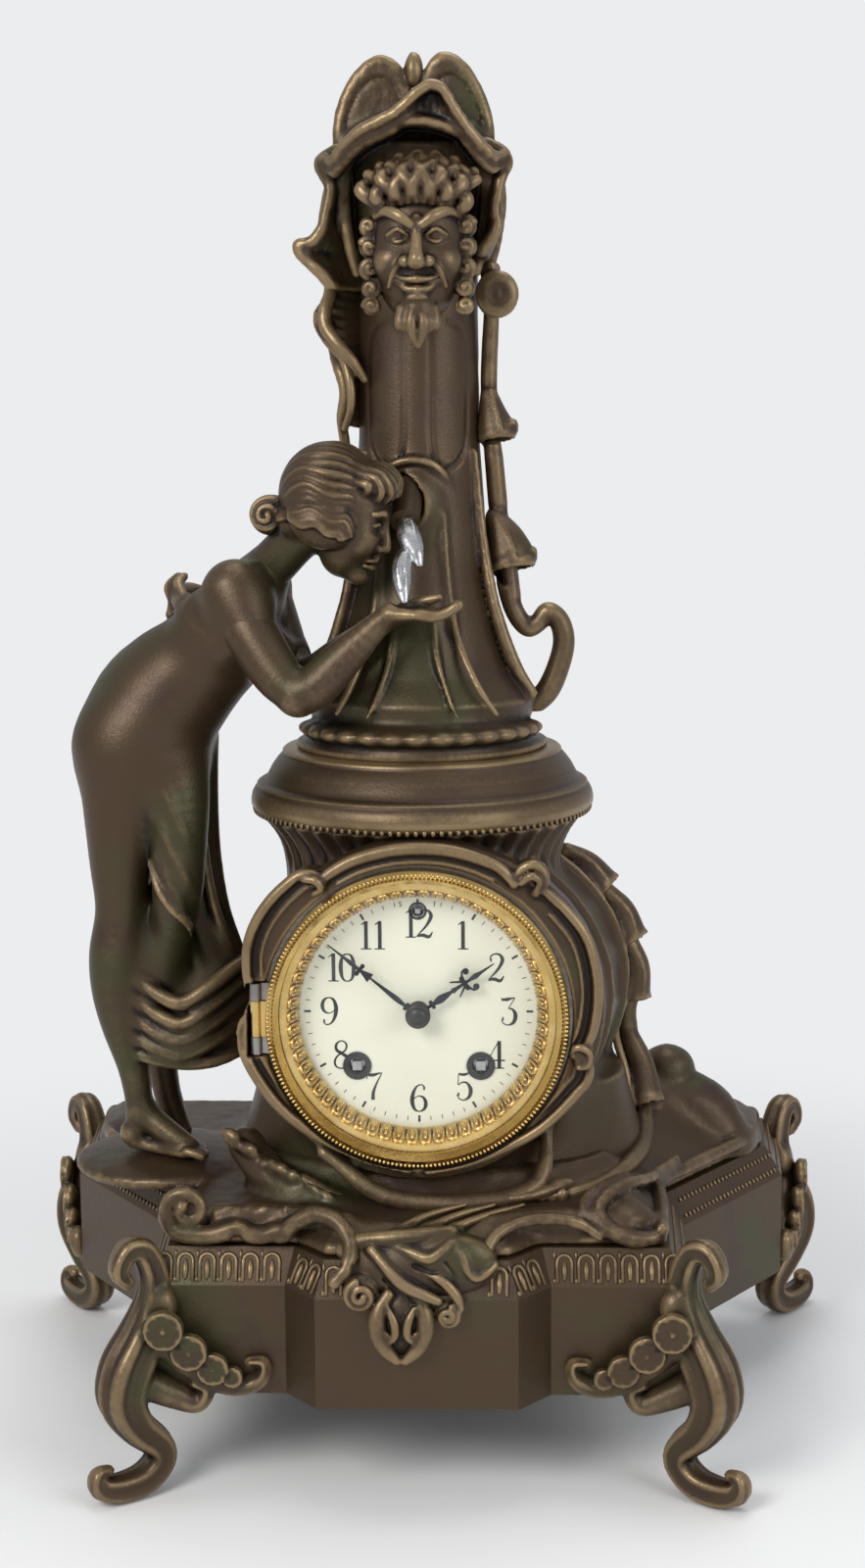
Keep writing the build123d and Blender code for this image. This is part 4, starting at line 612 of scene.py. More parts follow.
def womanClay():
    clay = Clay((-158, -70, 116), (-30, 34, 402), woman["pitch"])
    clay.stroke([(-121, -12, 298, 30, 27.5), (-116.5, -13, 317, 31, 28.5), (-106, -15, 331, 28, 26.5),
            (-95, -18, 341, 25.5, 23.5), (-85, -20, 350.5, 26.5, 22), (-77, -21, 360, 29, 18.5),
            (-71, -22, 369, 25, 13)], 3, side=(0, 1, 0))
    clay.ball((-125, -25, 307), (23.5, 20, 22), 8)
    clay.ball((-121, 8, 305), (25, 20, 22), 8)
    clay.stroke([(-107.5, -2, 306, 18, 14), (-108.5, 0, 265, 17.5, 12), (-107.5, 0, 232, 20, 11.5),
            (-104, -2, 206, 23.5, 14), (-100, -6, 187, 24.5, 18), (-99, -7, 170, 22.5, 18.5)], 5, side=(1, 0, 0))
    clay.floorAt(woman["hem"], 2.0)  # the gown hangs clear of the ground
    clay.stroke([(-125, -21, 302, 23), (-128, -23, 278, 17.6), (-130.5, -23, 255, 13.2), (-131, -23, 234, 10.9),
            (-134, -22, 214, 11.4), (-134.5, -21, 198, 10.5), (-132, -20, 182, 9.4), (-128, -20, 164, 7.2),
            (-126, -20, 150, 6.2), (-125, -20, 141, 6.2)], 5)
    clay.stroke([(-112, -20, 302, 21), (-105, -27, 280, 14.4), (-104, -30, 258, 11.8), (-105, -30, 242, 10.8),
            (-109, -21, 222, 8.8), (-115, -4, 196, 8.4), (-119, 4, 168, 7.4), (-118, 6, 148, 6.4),
            (-115, 6, 135, 6), (-111, 5, 126, 5)], 5)
    clay.ball((-119, -13, 204), (13, 14, 36), 9)  # cloth between the legs
    gownFolds(clay)
    for y in (-33, -5):
        clay.ball((-63, y, 346), (11.5, 11, 12), 6)  # bodice
    clay.stroke([(-92, -32, 358, 9), (-80, -41, 352, 9)], 8)  # back of the upper arm runs into the ribs
    clay.ball((-86, -34, 366), (12, 9, 8), 7)  # shoulder blades
    clay.ball((-84, -4, 370), (12, 9, 8), 7)
    clay.stroke([(-124, -13, 352, 1.5), (-104, -17, 365, 2.2), (-86, -19, 378, 2.0)], 6, carve=True)
    clay.ball((-74, -43, 370), (14, 12, 14), 8)
    clay.stroke([(-76, -43, 374, 13), (-70, -48, 361, 11.5), (-66, -51, 353, 9.8)], 5)
    clay.ball((-70, 3, 374), (12.5, 11, 12), 8)
    clay.stroke([(-70, 3, 374, 11.5), (-63, -8, 357, 10), (-55, -22, 344, 9)], 6)
    clay.stroke([(-72, -22, 372, 13), (-64, -27, 381, 10.8), (-58, -31, 388, 8.6), (-54, -34, 392, 6)], 7)
    r = woman["roll"]
    # rolled edge of the gown and its knot
    clay.stroke([(-105, -4, 372, 2.6), (-103.5, -14, 371, r), (-100, -27, 366.5, r + 0.5), (-95, -38, 360, r + 0.6),
            (-87, -45, 354.5, r + 0.3), (-77, -48.5, 351, r - 0.2), (-68, -49, 349, 2.6)], 1.4)
    clay.stroke([(-105, -4, 372, 2.6), (-100, 8, 370, r), (-88, 14, 364, r), (-74, 14, 356, 2.6)], 1.4)
    clay.stroke([(-104, -8, 377, 2.6), (-107, -13, 373, 3.0), (-105, -18, 367.5, 2.6), (-107, -19, 362, 1.8)], 1.2)
    clay.stroke([(-101, -12, 378, 2.0), (-103, -18, 375, 2.4), (-100, -24, 370, 2.0)], 1.2)
    clay.stroke([(-101, -28, 361, 1.4), (-93, -41, 354, 2.2), (-80, -48, 348, 1.6)], 2.0)
    womanFeet(clay)
    return clay


def womanFeet(clay):
    clay.ball((-128, -20, 132.5), (6.6, 6.2, 6.6), 3)
    clay.stroke([(-125, -20, 143, 6.2), (-117, -23, 137, 5.8), (-108, -26, 131, 5.4), (-103, -27.5, 128.5, 4.8)], 3)
    clay.stroke([(-126, -20, 128.5, 5.6, 3.6), (-112, -24, 127, 6.4, 3.4), (-103, -27.5, 126.6, 7.4, 3.0)], 2,
            side=(0.3, 1, 0))
    for i in range(5):
        y = -33.5 + 3.1 * i
        x = -103 + 0.5 * i
        clay.stroke([(x, y, 128, 2.2), (x + 4.5 - 0.7 * abs(i - 1), y - 0.9, 127.2, 2.0),
                (x + 7.6 - 1.0 * abs(i - 1), y - 1.4, 126.0, 1.9 - 0.1 * i)], 0.5)


def handStrokes(clay):
    clay.stroke([(-10, -61, 365.5, 5.6, 4.4), (-3, -61, 365.6, 8.6, 3.6), (4, -61, 365.4, 9.2, 3.0),
            (8, -61, 366, 8.2, 2.4)], 2, side=(0, 1, 0))
    for i in range(4):
        y = -67.6 + 4.3 * i
        long = (0.86, 1.0, 1.0, 0.9)[i]
        clay.stroke([(2, y * 0.96 - 2.4, 365.6, 2.6), (8, y, 365.0, 2.35), (8 + 6 * long, y, 366.6, 2.1),
                (8 + 10 * long, y - 0.3, 369.2, 1.7)], 0.6)
    clay.stroke([(-6, -53.5, 366.5, 3.0), (0, -51.8, 368.8, 2.6), (6, -52.6, 370.6, 2.2),
            (9.5, -53.6, 371.5, 1.7)], 1.2)
    clay.ball((0, -61, 369.6), (9, 6, 2.6), 1.6, carve=True)  # cupped palm


def rightArm():
    clay = Clay((-80, -76, 318), (24, -40, 388), woman["armPitch"])
    clay.stroke([(-74, -44.5, 369, 8.5), (-71, -47, 362, 11.0), (-68, -50, 356, 11.3), (-58, -56, 341, 10.2),
            (-50, -60, 333, 8.6)], 5)
    clay.stroke([(-48, -60, 331.5, 8.4), (-40, -61, 337, 9.2), (-28, -61, 349, 7.8), (-14, -61, 362.5, 5.0),
            (-9, -61, 365.5, 4.8)], 3)
    handStrokes(clay)
    return clay


def leftArm():
    clay = Clay((-78, -60, 320), (10, 20, 392), woman["farArmPitch"])
    clay.stroke([(-66, -3, 366, 10.6), (-60, -14, 352, 10), (-53, -29, 339.5, 8.6), (-46, -35, 337, 8),
            (-32, -39, 347, 7.4), (-15, -42, 360, 5)], 3)
    clay.stroke([(-15, -42, 360, 5.4, 4.2), (-7, -43, 363, 7.6, 3.0), (0, -44, 364, 7, 2.4)], 2, side=(0, 1, 0))
    return clay


def headFrame():
    tilt, turn = radians(woman["headTilt"]), radians(woman["headTurn"])
    ahead = np.array((cos(tilt) * cos(turn), -cos(tilt) * sin(turn), -sin(tilt)))
    right = unit(np.cross(ahead, (0, 0, 1)))
    up = np.cross(right, ahead)
    middle = np.array(woman["head"], float)
    s = woman["headSize"] / woman["drawnSize"]
    return (lambda f, r, u: middle + s * (f * ahead + r * right + u * up)), np.array((ahead, right, up)), s


def womanHead():
    at, turn, s = headFrame()
    clay = Clay((-78, -72, 370), (0, -10, 440), woman["headPitch"])

    def lump(f, r, u, radii, blend=2.0, carve=False):
        clay.ball(at(f, r, u), np.array(radii) * s, blend, carve, turn)

    def line(rows, blend=1.0, carve=False):
        clay.stroke([(*at(f, r, u), q * s) for f, r, u, q in rows], blend, carve)

    lump(-2.5, 0, 5, (18.5, 15.2, 17.5), 2)  # skull
    lump(5, 0, -9, (10.5, 11.2, 13.5), 6)  # jaw
    lump(9, 0, -2, (8, 11.2, 11), 5)
    lump(12.4, 0, -19.4, (4.2, 5.0, 3.8), 4)  # chin
    for side in (-1, 1):
        lump(11.0, side * 7.0, -6.0, (4.6, 4.4, 5.2), 5)  # cheek
        lump(17.2, side * 6.3, 0.6, (3.6, 3.9, 2.6), 2.4, True)
        lump(12.6, side * 6.1, 0.2, (2.9, 3.3, 2.9), 0.6)  # eye under its lid
        line([(14.4, side * 2.9, 0.0, 0.5), (15.7, side * 5.4, 1.5, 0.7), (14.9, side * 7.9, 1.0, 0.65),
                (13.3, side * 9.6, -0.4, 0.45)], 0.7)
        line([(14.5, side * 3.4, -0.6, 0.4), (15.2, side * 5.8, -1.7, 0.5), (13.6, side * 9.0, -0.8, 0.35)], 0.6)
        line([(16.2, side * 2.2, 4.4, 0.9), (16.3, side * 5.4, 6.0, 1.1), (13.8, side * 9.4, 5.0, 0.8)], 2.2)
        lump(17.3, side * 2.3, -7.4, (2.0, 1.6, 1.6), 1.4)  # nostril wings
        line([(17.4, side * 0.0, -12.2, 1.0), (16.6, side * 2.6, -12.4, 0.95),
                (14.8, side * 4.9, -13.3, 0.55)], 0.8)
    line([(15.6, 0, 5.0, 1.7), (17.4, 0, 0.0, 1.6), (19.2, 0, -4.4, 1.8), (19.7, 0, -6.6, 2.0)], 1.8)
    lump(17.0, 0, -10.0, (1.6, 1.6, 2.0), 1.5)
    line([(15.0, -4.2, -15.0, 0.7), (16.9, 0, -15.2, 1.35), (15.0, 4.2, -15.0, 0.7)], 1.0)
    line([(15.2, -5.0, -13.6, 0.28), (17.9, 0, -13.7, 0.32), (15.2, 5.0, -13.6, 0.28)], 0.5, True)
    clay.stroke([(-70, -24, 374, 8.5), (-62, -29, 383, 9.9), (-52, -35, 393, 9.6), (-44, -39, 400, 9.8)], 4)
    hairLocks(line, lump)
    return clay


def hairLocks(line, lump):
    masses = [((-7.0, 0, 6.2), (17.2, 16.8, 18.2)), ((9.0, 0, 15.0), (9.0, 12.5, 7.0)), ((-14.0, 0, -7.0),
            (9.5, 11.5, 8.5)), ((-4.0, 11.5, -4.0), (12.5, 6.5, 9.5)), ((-4.0, -11.5, -4.0), (12.5, 6.5, 9.5))]
    for middle, radii in masses:  # crown, front roll, nape and the waves over the ears
        lump(*middle, radii, 1.6)
    heart = np.array((-5.0, 0, 3.0))

    def onHair(way):  # where a ray from inside the head leaves the hair
        way, reach = unit(way), 0
        for middle, radii in masses:
            a, b = way / np.array(radii), (heart - np.array(middle)) / np.array(radii)
            root = (a @ b) ** 2 - (a @ a) * (b @ b - 1)
            if root > 0:
                reach = max(reach, (math.sqrt(root) - a @ b) / (a @ a))
        return heart + way * reach

    for side in (-1, 1):
        for k in range(15):  # wavy locks combed back from the hairline to the bun
            t = (k + 0.3) / 13
            turns = [(0.98 - 0.42 * t, side * (0.04 + 0.72 * t), 0.52 - 0.98 * t),
                    (0.62 - 0.30 * t, side * (0.10 + 0.86 * t), 0.90 - 1.26 * t),
                    (-0.05 - 0.1 * t, side * (0.14 + 0.92 * t), 1.0 - 1.40 * t),
                    (-0.62, side * (0.16 + 0.70 * t), 0.62 - 1.10 * t), (-1.0, side * 0.16, -0.22 - 0.32 * t)]
            path = curvePoints(turns, 4)
            sway = 0.055 * np.sin(np.linspace(0, 5.5 * pi, len(path)) + 0.5 * k)
            size = 1.1 + 0.75 * np.sin(np.linspace(0.25, pi - 0.15, len(path))) + 0.2 * (k % 2)
            line([(*onHair(row + (0, 0, shift)), q) for row, shift, q in zip(path, sway, size)], 0.3)
    lump(-26.0, 0.5, -8.5, (7.6, 7.2, 7.6), 1.0)  # coiled bun
    for out in (-1, 1):
        coil = [(-26.0 + q * cos(a), 0.5 + out * (7.4 - 0.09 * q * q), -8.5 + q * sin(a), 1.35) for a,
                q in zip(np.linspace(0, 4.2 * pi, 22), np.linspace(7.0, 1.0, 22))]
        line(coil, 0.3)


sculpted("figure_body_cast", womanClay(), bronze, ["figure_body"])
sculpted("figure_right_arm_cast", rightArm(), bronze, ["figure_right_arm"])
sculpted("figure_left_arm_cast", leftArm(), bronze, ["figure_left_arm"])
sculpted("figure_head_cast", womanHead(), bronze, ["figure_head"], settle=1)
print("woman done")


# base: ground, feet and plinth trim
base = {"groundPitch": 1.5, "cartouchePitch": 0.7, "footPitch": 0.9, "groundLow": 105.2, "floor": 0.02,
        "ledge": (-116, -10, 117.5), "ledgeHalf": (40, 38, 7.2),
        "mounds": ((23, 126, 46, 24, 24), (7, 110, 4, 26, 34), (8, 92, -64, 15, 17)),  # rise, x, y, half widths
        "frontCorner": (-112, -95), "rearCorner": (-170, 99), "rearAlong": (0.0753, -0.9972)}
plinthHalf = [(41.5, -110), (55, -95), (112, -95), (115, -22), (166, 46), (170, 99)]
plinthOutline = plinthHalf + [(-x, y) for x, y in reversed(plinthHalf)]


def spiral(middle, start, end, turns, lift, side=1, axis=1, begin=0.0):
    rows, steps = [], 14  # a flat curl in the plane square to axis, from start to end radius
    for i in range(steps + 1):
        t = i / steps
        a = begin + side * turns * 2 * pi * t
        r = start[0] + (end[0] - start[0]) * t
        q = start[1] + (end[1] - start[1]) * t
        p = [middle[0], middle[1], middle[2]]
        u, v = [c for c in range(3) if c != axis]
        p[u] += r * cos(a)
        p[v] += r * sin(a)
        p[axis] += lift * t
        rows.append((*p, q))
    return rows


def groundHeight(x, y):
    fromDrum = np.maximum((np.sqrt(((x - 8) / 88) ** 2 + ((y + 2) / 62) ** 2) - 1) * 70, 0)
    h = 116.8 + 13 * np.exp(-fromDrum / 8)
    for rise, mx, my, wx, wy in base["mounds"]:
        h = h + rise * np.exp(-(((x - mx) / wx) ** 2 + ((y - my) / wy) ** 2))
    return h + 0.5 * np.sin((x * 0.6 - y) / 7 + 2.2 * np.sin(y / 28)) * np.exp(-((x - 70) / 70) ** 2)


def groundClay():
    clay = Clay((-178, -132, 60), (178, 106, 166), base["groundPitch"])
    x, y, z = clay.grid()
    edge = outlineDistance(x, y, plinthOutline)
    slope = edge + 9.5 + np.maximum(z - 109, 0) * 1.2
    clay.press(shared(slope, z - groundHeight(x, y), base["groundLow"] - z), 0.5)
    clay.ball(base["ledge"], base["ledgeHalf"], 3)
    clay.stroke([(104, 46, 130, 15), (126, 46, 123, 16), (140, 40, 109, 12)], 8)
    clay.ball((112, 48, 142), (13, 12, 12), 1.6)
    clay.stroke([(98, 40, 139, 3), (103, 38, 131, 4), (112, 36, 127, 4), (122, 37, 131, 3)], 2.0)
    for side in (-1, 1):                     # rolled edge along each side
        clay.stroke([(side * 101, -84, 112, 3.0), (side * 103, -56, 113, 3.0), (side * 104, -27, 113, 3.2),
                (side * 121, -2, 113, 3.2), (side * 139, 22, 113, 3.2), (side * 151, 44, 112, 3.0),
                (side * 154, 68, 111, 2.8), (side * 156, 86, 110, 2.4)], 2.2)
    rimScrolls(clay)
    barnacles(clay)
    clay.cut(np.minimum(base["groundLow"] - z, -(edge - 0.3)), 0.3)
    return clay


def rimScrolls(clay):
    clay.stroke(spiral((-96, -87, 121), (9, 3.2), (2.2, 2.4), 1.25, -2.5, -1, 1, 3.7), 0.9)
    clay.stroke([(-105, -86, 117, 3.4), (-101, -87.5, 111.5, 3.8), (-91, -88.5, 110, 4), (-81, -89, 111.5, 4),
            (-75, -89, 114, 3.2), (-70, -89, 111, 3.6), (-63, -89, 110.5, 3.6), (-58, -89.5, 113, 3.0),
            (-54, -90, 111, 3.2)], 1.4)
    clay.stroke([(-57, -90, 110, 3.2), (-50, -91, 117, 3.6), (-41, -93, 121, 3.8), (-32, -98, 119, 3.8),
            (-27, -103, 112, 3.8), (-28, -109, 105, 3.6), (-33, -112, 99, 3.0)], 1.2)
    clay.stroke([(-84, -80, 116, 5), (-66, -80, 116, 5), (-46, -82, 116, 5), (-30, -88, 115, 5)], 4)
    clay.stroke([(30, -106, 104, 2.0), (29, -103, 110, 2.6), (34, -98, 115.5, 2.8), (44, -93, 118.5, 2.8),
            (56, -91, 119, 2.8), (67, -90, 116.5, 2.6), (75, -90, 111, 2.2)], 1.0)
    clay.stroke([(30, -88, 115, 5), (48, -82, 115.5, 5), (66, -80, 115, 5)], 4)
    clay.ball((86, -74, 114), (12, 12, 7), 3)
    wave = [(97, -86, 109, 3.2), (88, -88, 109.5, 3.8), (79, -87, 113, 3.6), (74, -82, 119, 3.4),
            (79, -74, 123.5, 3.2), (88, -62, 124, 3.0), (97, -47, 121, 2.8), (103, -30, 118.5, 2.6),
            (112, -12, 118, 2.4)]
    clay.stroke(wave, 1.2)
    clay.stroke([(a - 7 * (1 - i / 7), b + 2, c + 1.5, q * 0.8) for i, (a, b, c, q) in enumerate(wave[1:6])], 1.2)
    clay.stroke([(38, -76, 122, 2.0), (50, -72, 123, 2.4), (58, -66, 124, 3.4), (64, -60, 124, 2.0)], 1.0)


def cartouche():                             # cast scrolls that hang over the middle of the front
    clay = Clay((-40, -121, 60), (50, -74, 126), base["cartouchePitch"])
    clay.ball((-1, -104, 101), (26, 8, 12), 3)
    clay.ball((14, -105, 104), (19, 7, 13), 3)
    clay.ball((-22.5, -109.5, 94), (7.6, 4.4, 7.6), 1.2)
    clay.stroke(spiral((-22.5, -113.2, 94), (5.9, 1.9), (1.2, 1.4), 1.7, -2.2, 1, 1, 1.9), 0.5)
    clay.ball((-6, -110.5, 80), (10, 4.6, 13), 3)
    for side, x0 in ((-1, -15.0), (1, 3.0)):  # pendant of two hooked lobes
        clay.stroke([(x0 - side * 4, -111, 94, 2.6), (x0, -113, 87.5, 3.6), (x0 + side * 0.6, -114.5, 79.5, 3.9),
                (x0 - side * 2.6, -115, 72.5, 3.4), (-6.2 + side * 1.8, -114.5, 67, 2.0)], 0.6)
        clay.stroke([(x0 - side * 3, -114, 90, 1.3), (x0 - side * 6.0, -115.5, 84, 1.9),
                (x0 - side * 6.4, -116, 78.5, 1.9), (x0 - side * 3.8, -116.4, 76, 1.5),
                (x0 - side * 3.2, -116.6, 79, 1.1)], 0.5)
    clay.ball((13, -110.5, 86), (5.8, 4, 5.8), 1.2)
    clay.stroke(spiral((13, -114.2, 85.7), (4.3, 1.6), (0.9, 1.2), 1.6, -1.8, -1, 1, 1.2), 0.5)
    for rows in ([(-18, -107, 111, 2.0), (-11, -110.5, 104, 2.8), (-4.5, -112.5, 98.4, 3.0),
                  (3.3, -113.5, 94.5, 2.6), (9, -113.5, 92, 2.0)],
                 [(-10, -105, 112.5, 1.8), (-2, -108.5, 110.5, 2.4), (5.3, -110.5, 109, 2.6),
                  (11, -109.5, 112, 2.4), (15, -107.5, 114, 2.2), (18.5, -109.5, 110, 2.4), (20, -110.5, 106, 2.4),
                  (22, -110.5, 102.5, 2.2), (25, -110, 101, 2.2), (29, -109, 103, 2.0), (32, -107, 105, 1.6)],
                 [(6, -111.5, 103, 1.8), (12, -113, 99.5, 2.2), (16.5, -113.5, 94, 2.2), (18, -113.5, 89, 1.8)],
                 [(-26, -101, 113, 2.4), (-14, -104, 115, 3.0), (0, -104, 116, 3.2), (14, -102, 117, 2.8)]):
        clay.stroke(rows, 0.9)
    for rows in ([(-1, -110.5, 106, 0.9), (6, -112.5, 104, 1.1), (12, -113.5, 105.5, 0.9)],
                 [(12, -111.5, 107.5, 0.8), (15.5, -112.5, 103, 1.0), (19.5, -113, 98.5, 0.8)],
                 [(-13, -110, 100, 0.8), (-6, -113, 93.5, 1.0), (0, -114, 90.5, 0.8)]):
        clay.stroke(rows, 0.8, carve=True)  # hollows between the folds
    for k in range(3):  # folds that run up the slope
        clay.stroke([(-12 + 9 * k, -104, 110, 1.0), (-7 + 10 * k, -98, 116, 1.6), (4 + 12 * k, -88, 119, 1.6),
                (20 + 12 * k, -80, 121, 0.8)], 1.8)
    clay.ball((0, -99, 108), (34, 8, 9), 4)
    return clay


def barnacles(clay):
    rng = np.random.default_rng(5)
    clay.stroke([(-76, -42, 134, 8), (-64, -55, 124, 8), (-46, -66, 118, 7), (-30, -74, 115, 5)], 6)
    for i in range(120):                      # lumps and beads by the drum's left foot
        t, a = rng.uniform(0, 1), rng.uniform(-1, 1)
        px, py, pz = -78 + 48 * t, -49 - 26 * t, 139 - 21 * t
        clay.ball((px + 7 * a, py - 3 - 3 * a, pz - 5 * a - 3 * rng.uniform(0, 1)),
                rng.uniform(1.2, 3.4) * (1 - 0.3 * t), 0.6)
    for i in range(12):
        clay.ball((-84 + 3.2 * i + rng.uniform(-1, 1), -82 + rng.uniform(-2, 2), 118.5 + rng.uniform(-1, 1.5)),
                rng.uniform(1.4, 2.6), 0.8)


def reeded(clay, rows, across, blend):       # a scroll limb with three reeds on each broad face
    pts = curvePoints(rows, 4)
    clay.stroke([(*p[:3], p[3] * 0.86) for p in pts], blend, steps=1)
    tangent = np.gradient(pts[:, :3], axis=0)
    face = np.cross(tangent, across)
    face /= np.linalg.norm(face, axis=1)[:, None]
    for turn in (-1, 1):
        for shift in (-0.62, 0.0, 0.62):
            lift = 0.62 - 0.24 * abs(shift)
            spots = pts[:, :3] + np.outer(pts[:, 3] * shift, across) + turn * face * (pts[:, 3:4] * lift)
            clay.stroke(np.hstack([spots, pts[:, 3:4] * 0.34]), 0.6, steps=1)


def coinFlower(clay, px, face, pz, r):       # dished disc with a rim, a boss and petal lines
    clay.ball((px, face + 2, pz), (r, 3.4, r), 0.5)
    clay.ball((px, face - 2.2, pz), (r * 0.74, 1.9, r * 0.74), 0.5, carve=True)
    ring = [(px + 0.88 * r * cos(a), face - 0.6, pz + 0.88 * r * sin(a), 0.95) for a in np.linspace(0, 2 * pi, 17)]
    clay.stroke(ring, 0.4, steps=1)
    clay.ball((px, face - 0.6, pz), (r * 0.2, 1.2, r * 0.2), 0.3)
    for k in range(7):
        a = k * 2 * pi / 7 + 0.3
        clay.stroke([(px + 0.3 * r * cos(a), face - 0.8, pz + 0.3 * r * sin(a), 0.45),
                (px + 0.72 * r * cos(a), face - 0.9, pz + 0.72 * r * sin(a), 0.7)], 0.4)


def footClay():                              # front left; the others are turned or mirrored from it
    clay = Clay((-142, -124, -1), (-56, -84, 116), base["footPitch"])
    out, across = np.array((-0.8, -0.6, 0)), np.array((0.6, -0.8, 0))
    cx, cy = base["frontCorner"]
    limb = []
    for reach, up, r in ((9, 94, 3.4), (13, 100, 4.4), (9, 107.5, 5.0), (2, 106.5, 5.8), (-2.5, 96, 6.4),
                         (-2, 84, 7.2), (3.5, 70, 9.4), (11, 57, 10.8), (13.5, 44, 10.2), (7, 31, 8.2),
                         (-2.5, 21, 7.0), (-3.5, 13.5, 6.6), (4, 7.2, 6.6), (15, 6.0, 6.2), (24, 8.5, 5.4),
                         (25, 14, 3.8), (20, 15, 2.6)):
        limb.append((cx + reach * out[0], cy + reach * out[1], up, r))
    reeded(clay, limb, across, 1.4)
    clay.ball((-106, -97, 83), (6.5, 5.5, 8), 3)  # boss over the fixing
    wing = [(-110, -97, 74, 7), (-99, -97, 60, 5.4), (-86, -97, 51, 4.6), (-75, -97, 48, 4.2), (-66, -97, 51, 3.8),
            (-64, -97.5, 58, 3.0), (-70, -98, 59, 2.2)]
    clay.stroke(wing, 1.6)
    clay.stroke([(x, y - 3.2, z + 1, q * 0.36) for x, y, z, q in wing], 0.7)
    tail = [(-113, -99, 50, 7), (-101, -98, 44, 5.6), (-92, -97.5, 41, 4.4), (-88, -97.5, 47, 3.4),
            (-93, -98, 50, 2.4)]
    clay.stroke(tail, 1.4)
    clay.stroke([(x, y - 3.4, z, q * 0.36) for x, y, z, q in tail], 0.7)
    for px, face, pz, r in ((-104, -108, 76, 8.6), (-94, -106, 66, 7.9), (-84.5, -104.2, 58, 6.8),
                            (-76.5, -102.6, 54, 4.2)):
        coinFlower(clay, px, face, pz, r)
    clay.floorAt(base["floor"], 0.3)
    return clay


def placeFeet():
    verts, quads = footClay().net(2)
    flip = np.array((-1, 1, 1))
    turned = verts.copy()
    along = np.array(base["rearAlong"])
    normal = np.array((along[1], -along[0]))
    cx, cy = base["frontCorner"]
    turned[:, :2] = base["rearCorner"] + np.outer(verts[:, 0] - cx, along) + np.outer(cy - verts[:, 1], normal)
    for name, points in (("front", verts), ("rear", turned)):
        sculpted("foot_" + name + "_left_cast", (points, quads), bronze, ["foot_" + name + "_left"])
        sculpted("foot_" + name + "_right_cast", (points * flip, quads[:, ::-1]), bronze,
                 ["foot_" + name + "_right"])


sculpted("rock_ground_cast", groundClay(), bronze, ["rock_ground"], rough=[(7, 0.25, 3), (2.6, 0.12, 4)])
sculpted("front_cartouche_cast", cartouche(), bronze, [], settle=1)
placeFeet()
print("base done")


# drum, dial frame and reed stalk
drum = {"pitch": 1.4, "stalkPitch": 0.9, "framePitch": 0.8, "dialZ": 199.0, "radius": 71.0,
        "front": -69.0, "back": 44.0, "rear": 43.8, "rearShift": (12, -6), "rearGrowth": (13, -1),
        "wall": 3.5, "top": 274.7, "foot": 105.5,
        # bores from the front, each to y with its radius
        "bezelSeat": (-68.8, 64.6), "panSeat": (-65.0, 61.6), "inside": (40.0, 66.0), "coverBore": 55.1,
        "hinge": (-67.0, -73.5), "swing": 100,
        "bezel": (60.2, 3.5, -75.3, 6.0),  # radius, half wide, y, half deep
        "notch": ((-70.6, -61.0), -73.5, 7.4, 15.8)}  # for the hinge: x ends, y, half deep, half tall
frameOutline = [(-75, 195), (-70, 206), (-71, 219), (-71, 231), (-67, 241), (-61, 250), (-54, 257), (-46, 262),
        (-40, 261.5), (-35, 264), (-27, 268), (-18, 271.5), (-8, 273.5), (3, 274), (14, 273), (25, 270.5),
        (35, 266.5), (42, 263), (48, 266), (53, 262), (55, 255), (63, 247), (70, 237), (74, 227), (76, 214),
        (76, 202), (73, 191), (72, 181), (73, 176), (69, 169), (62, 160), (52, 151), (38, 142), (20, 134), (2, 130),
        (-18, 134), (-36, 143), (-49, 151), (-60, 160), (-68, 172), (-74, 184)]


def barrelAt(y):                             # middle and half width, middle and half height at a depth
    t = np.clip((y - drum["front"]) / (drum["back"] - drum["front"]), 0, 1)
    (shiftX, shiftZ), (growX, growZ) = drum["rearShift"], drum["rearGrowth"]
    return shiftX * t, drum["radius"] + growX * t, drum["dialZ"] + shiftZ * t, drum["radius"] + growZ * t


def onBarrel(angle, y, lift):                # a point on the drum's side, angle in degrees from the right
    mx, wide, mz, tall = barrelAt(y)
    a = radians(angle)
    return mx + (wide + lift) * cos(a), y, mz + (tall + lift) * sin(a)


def hingeNotch(x, y, z):
    ends, middleY, halfDeep, halfTall = drum["notch"]
    return shared(x - ends[1], ends[0] - x, np.abs(z - drum["dialZ"]) - halfTall, np.abs(y - middleY) - halfDeep)


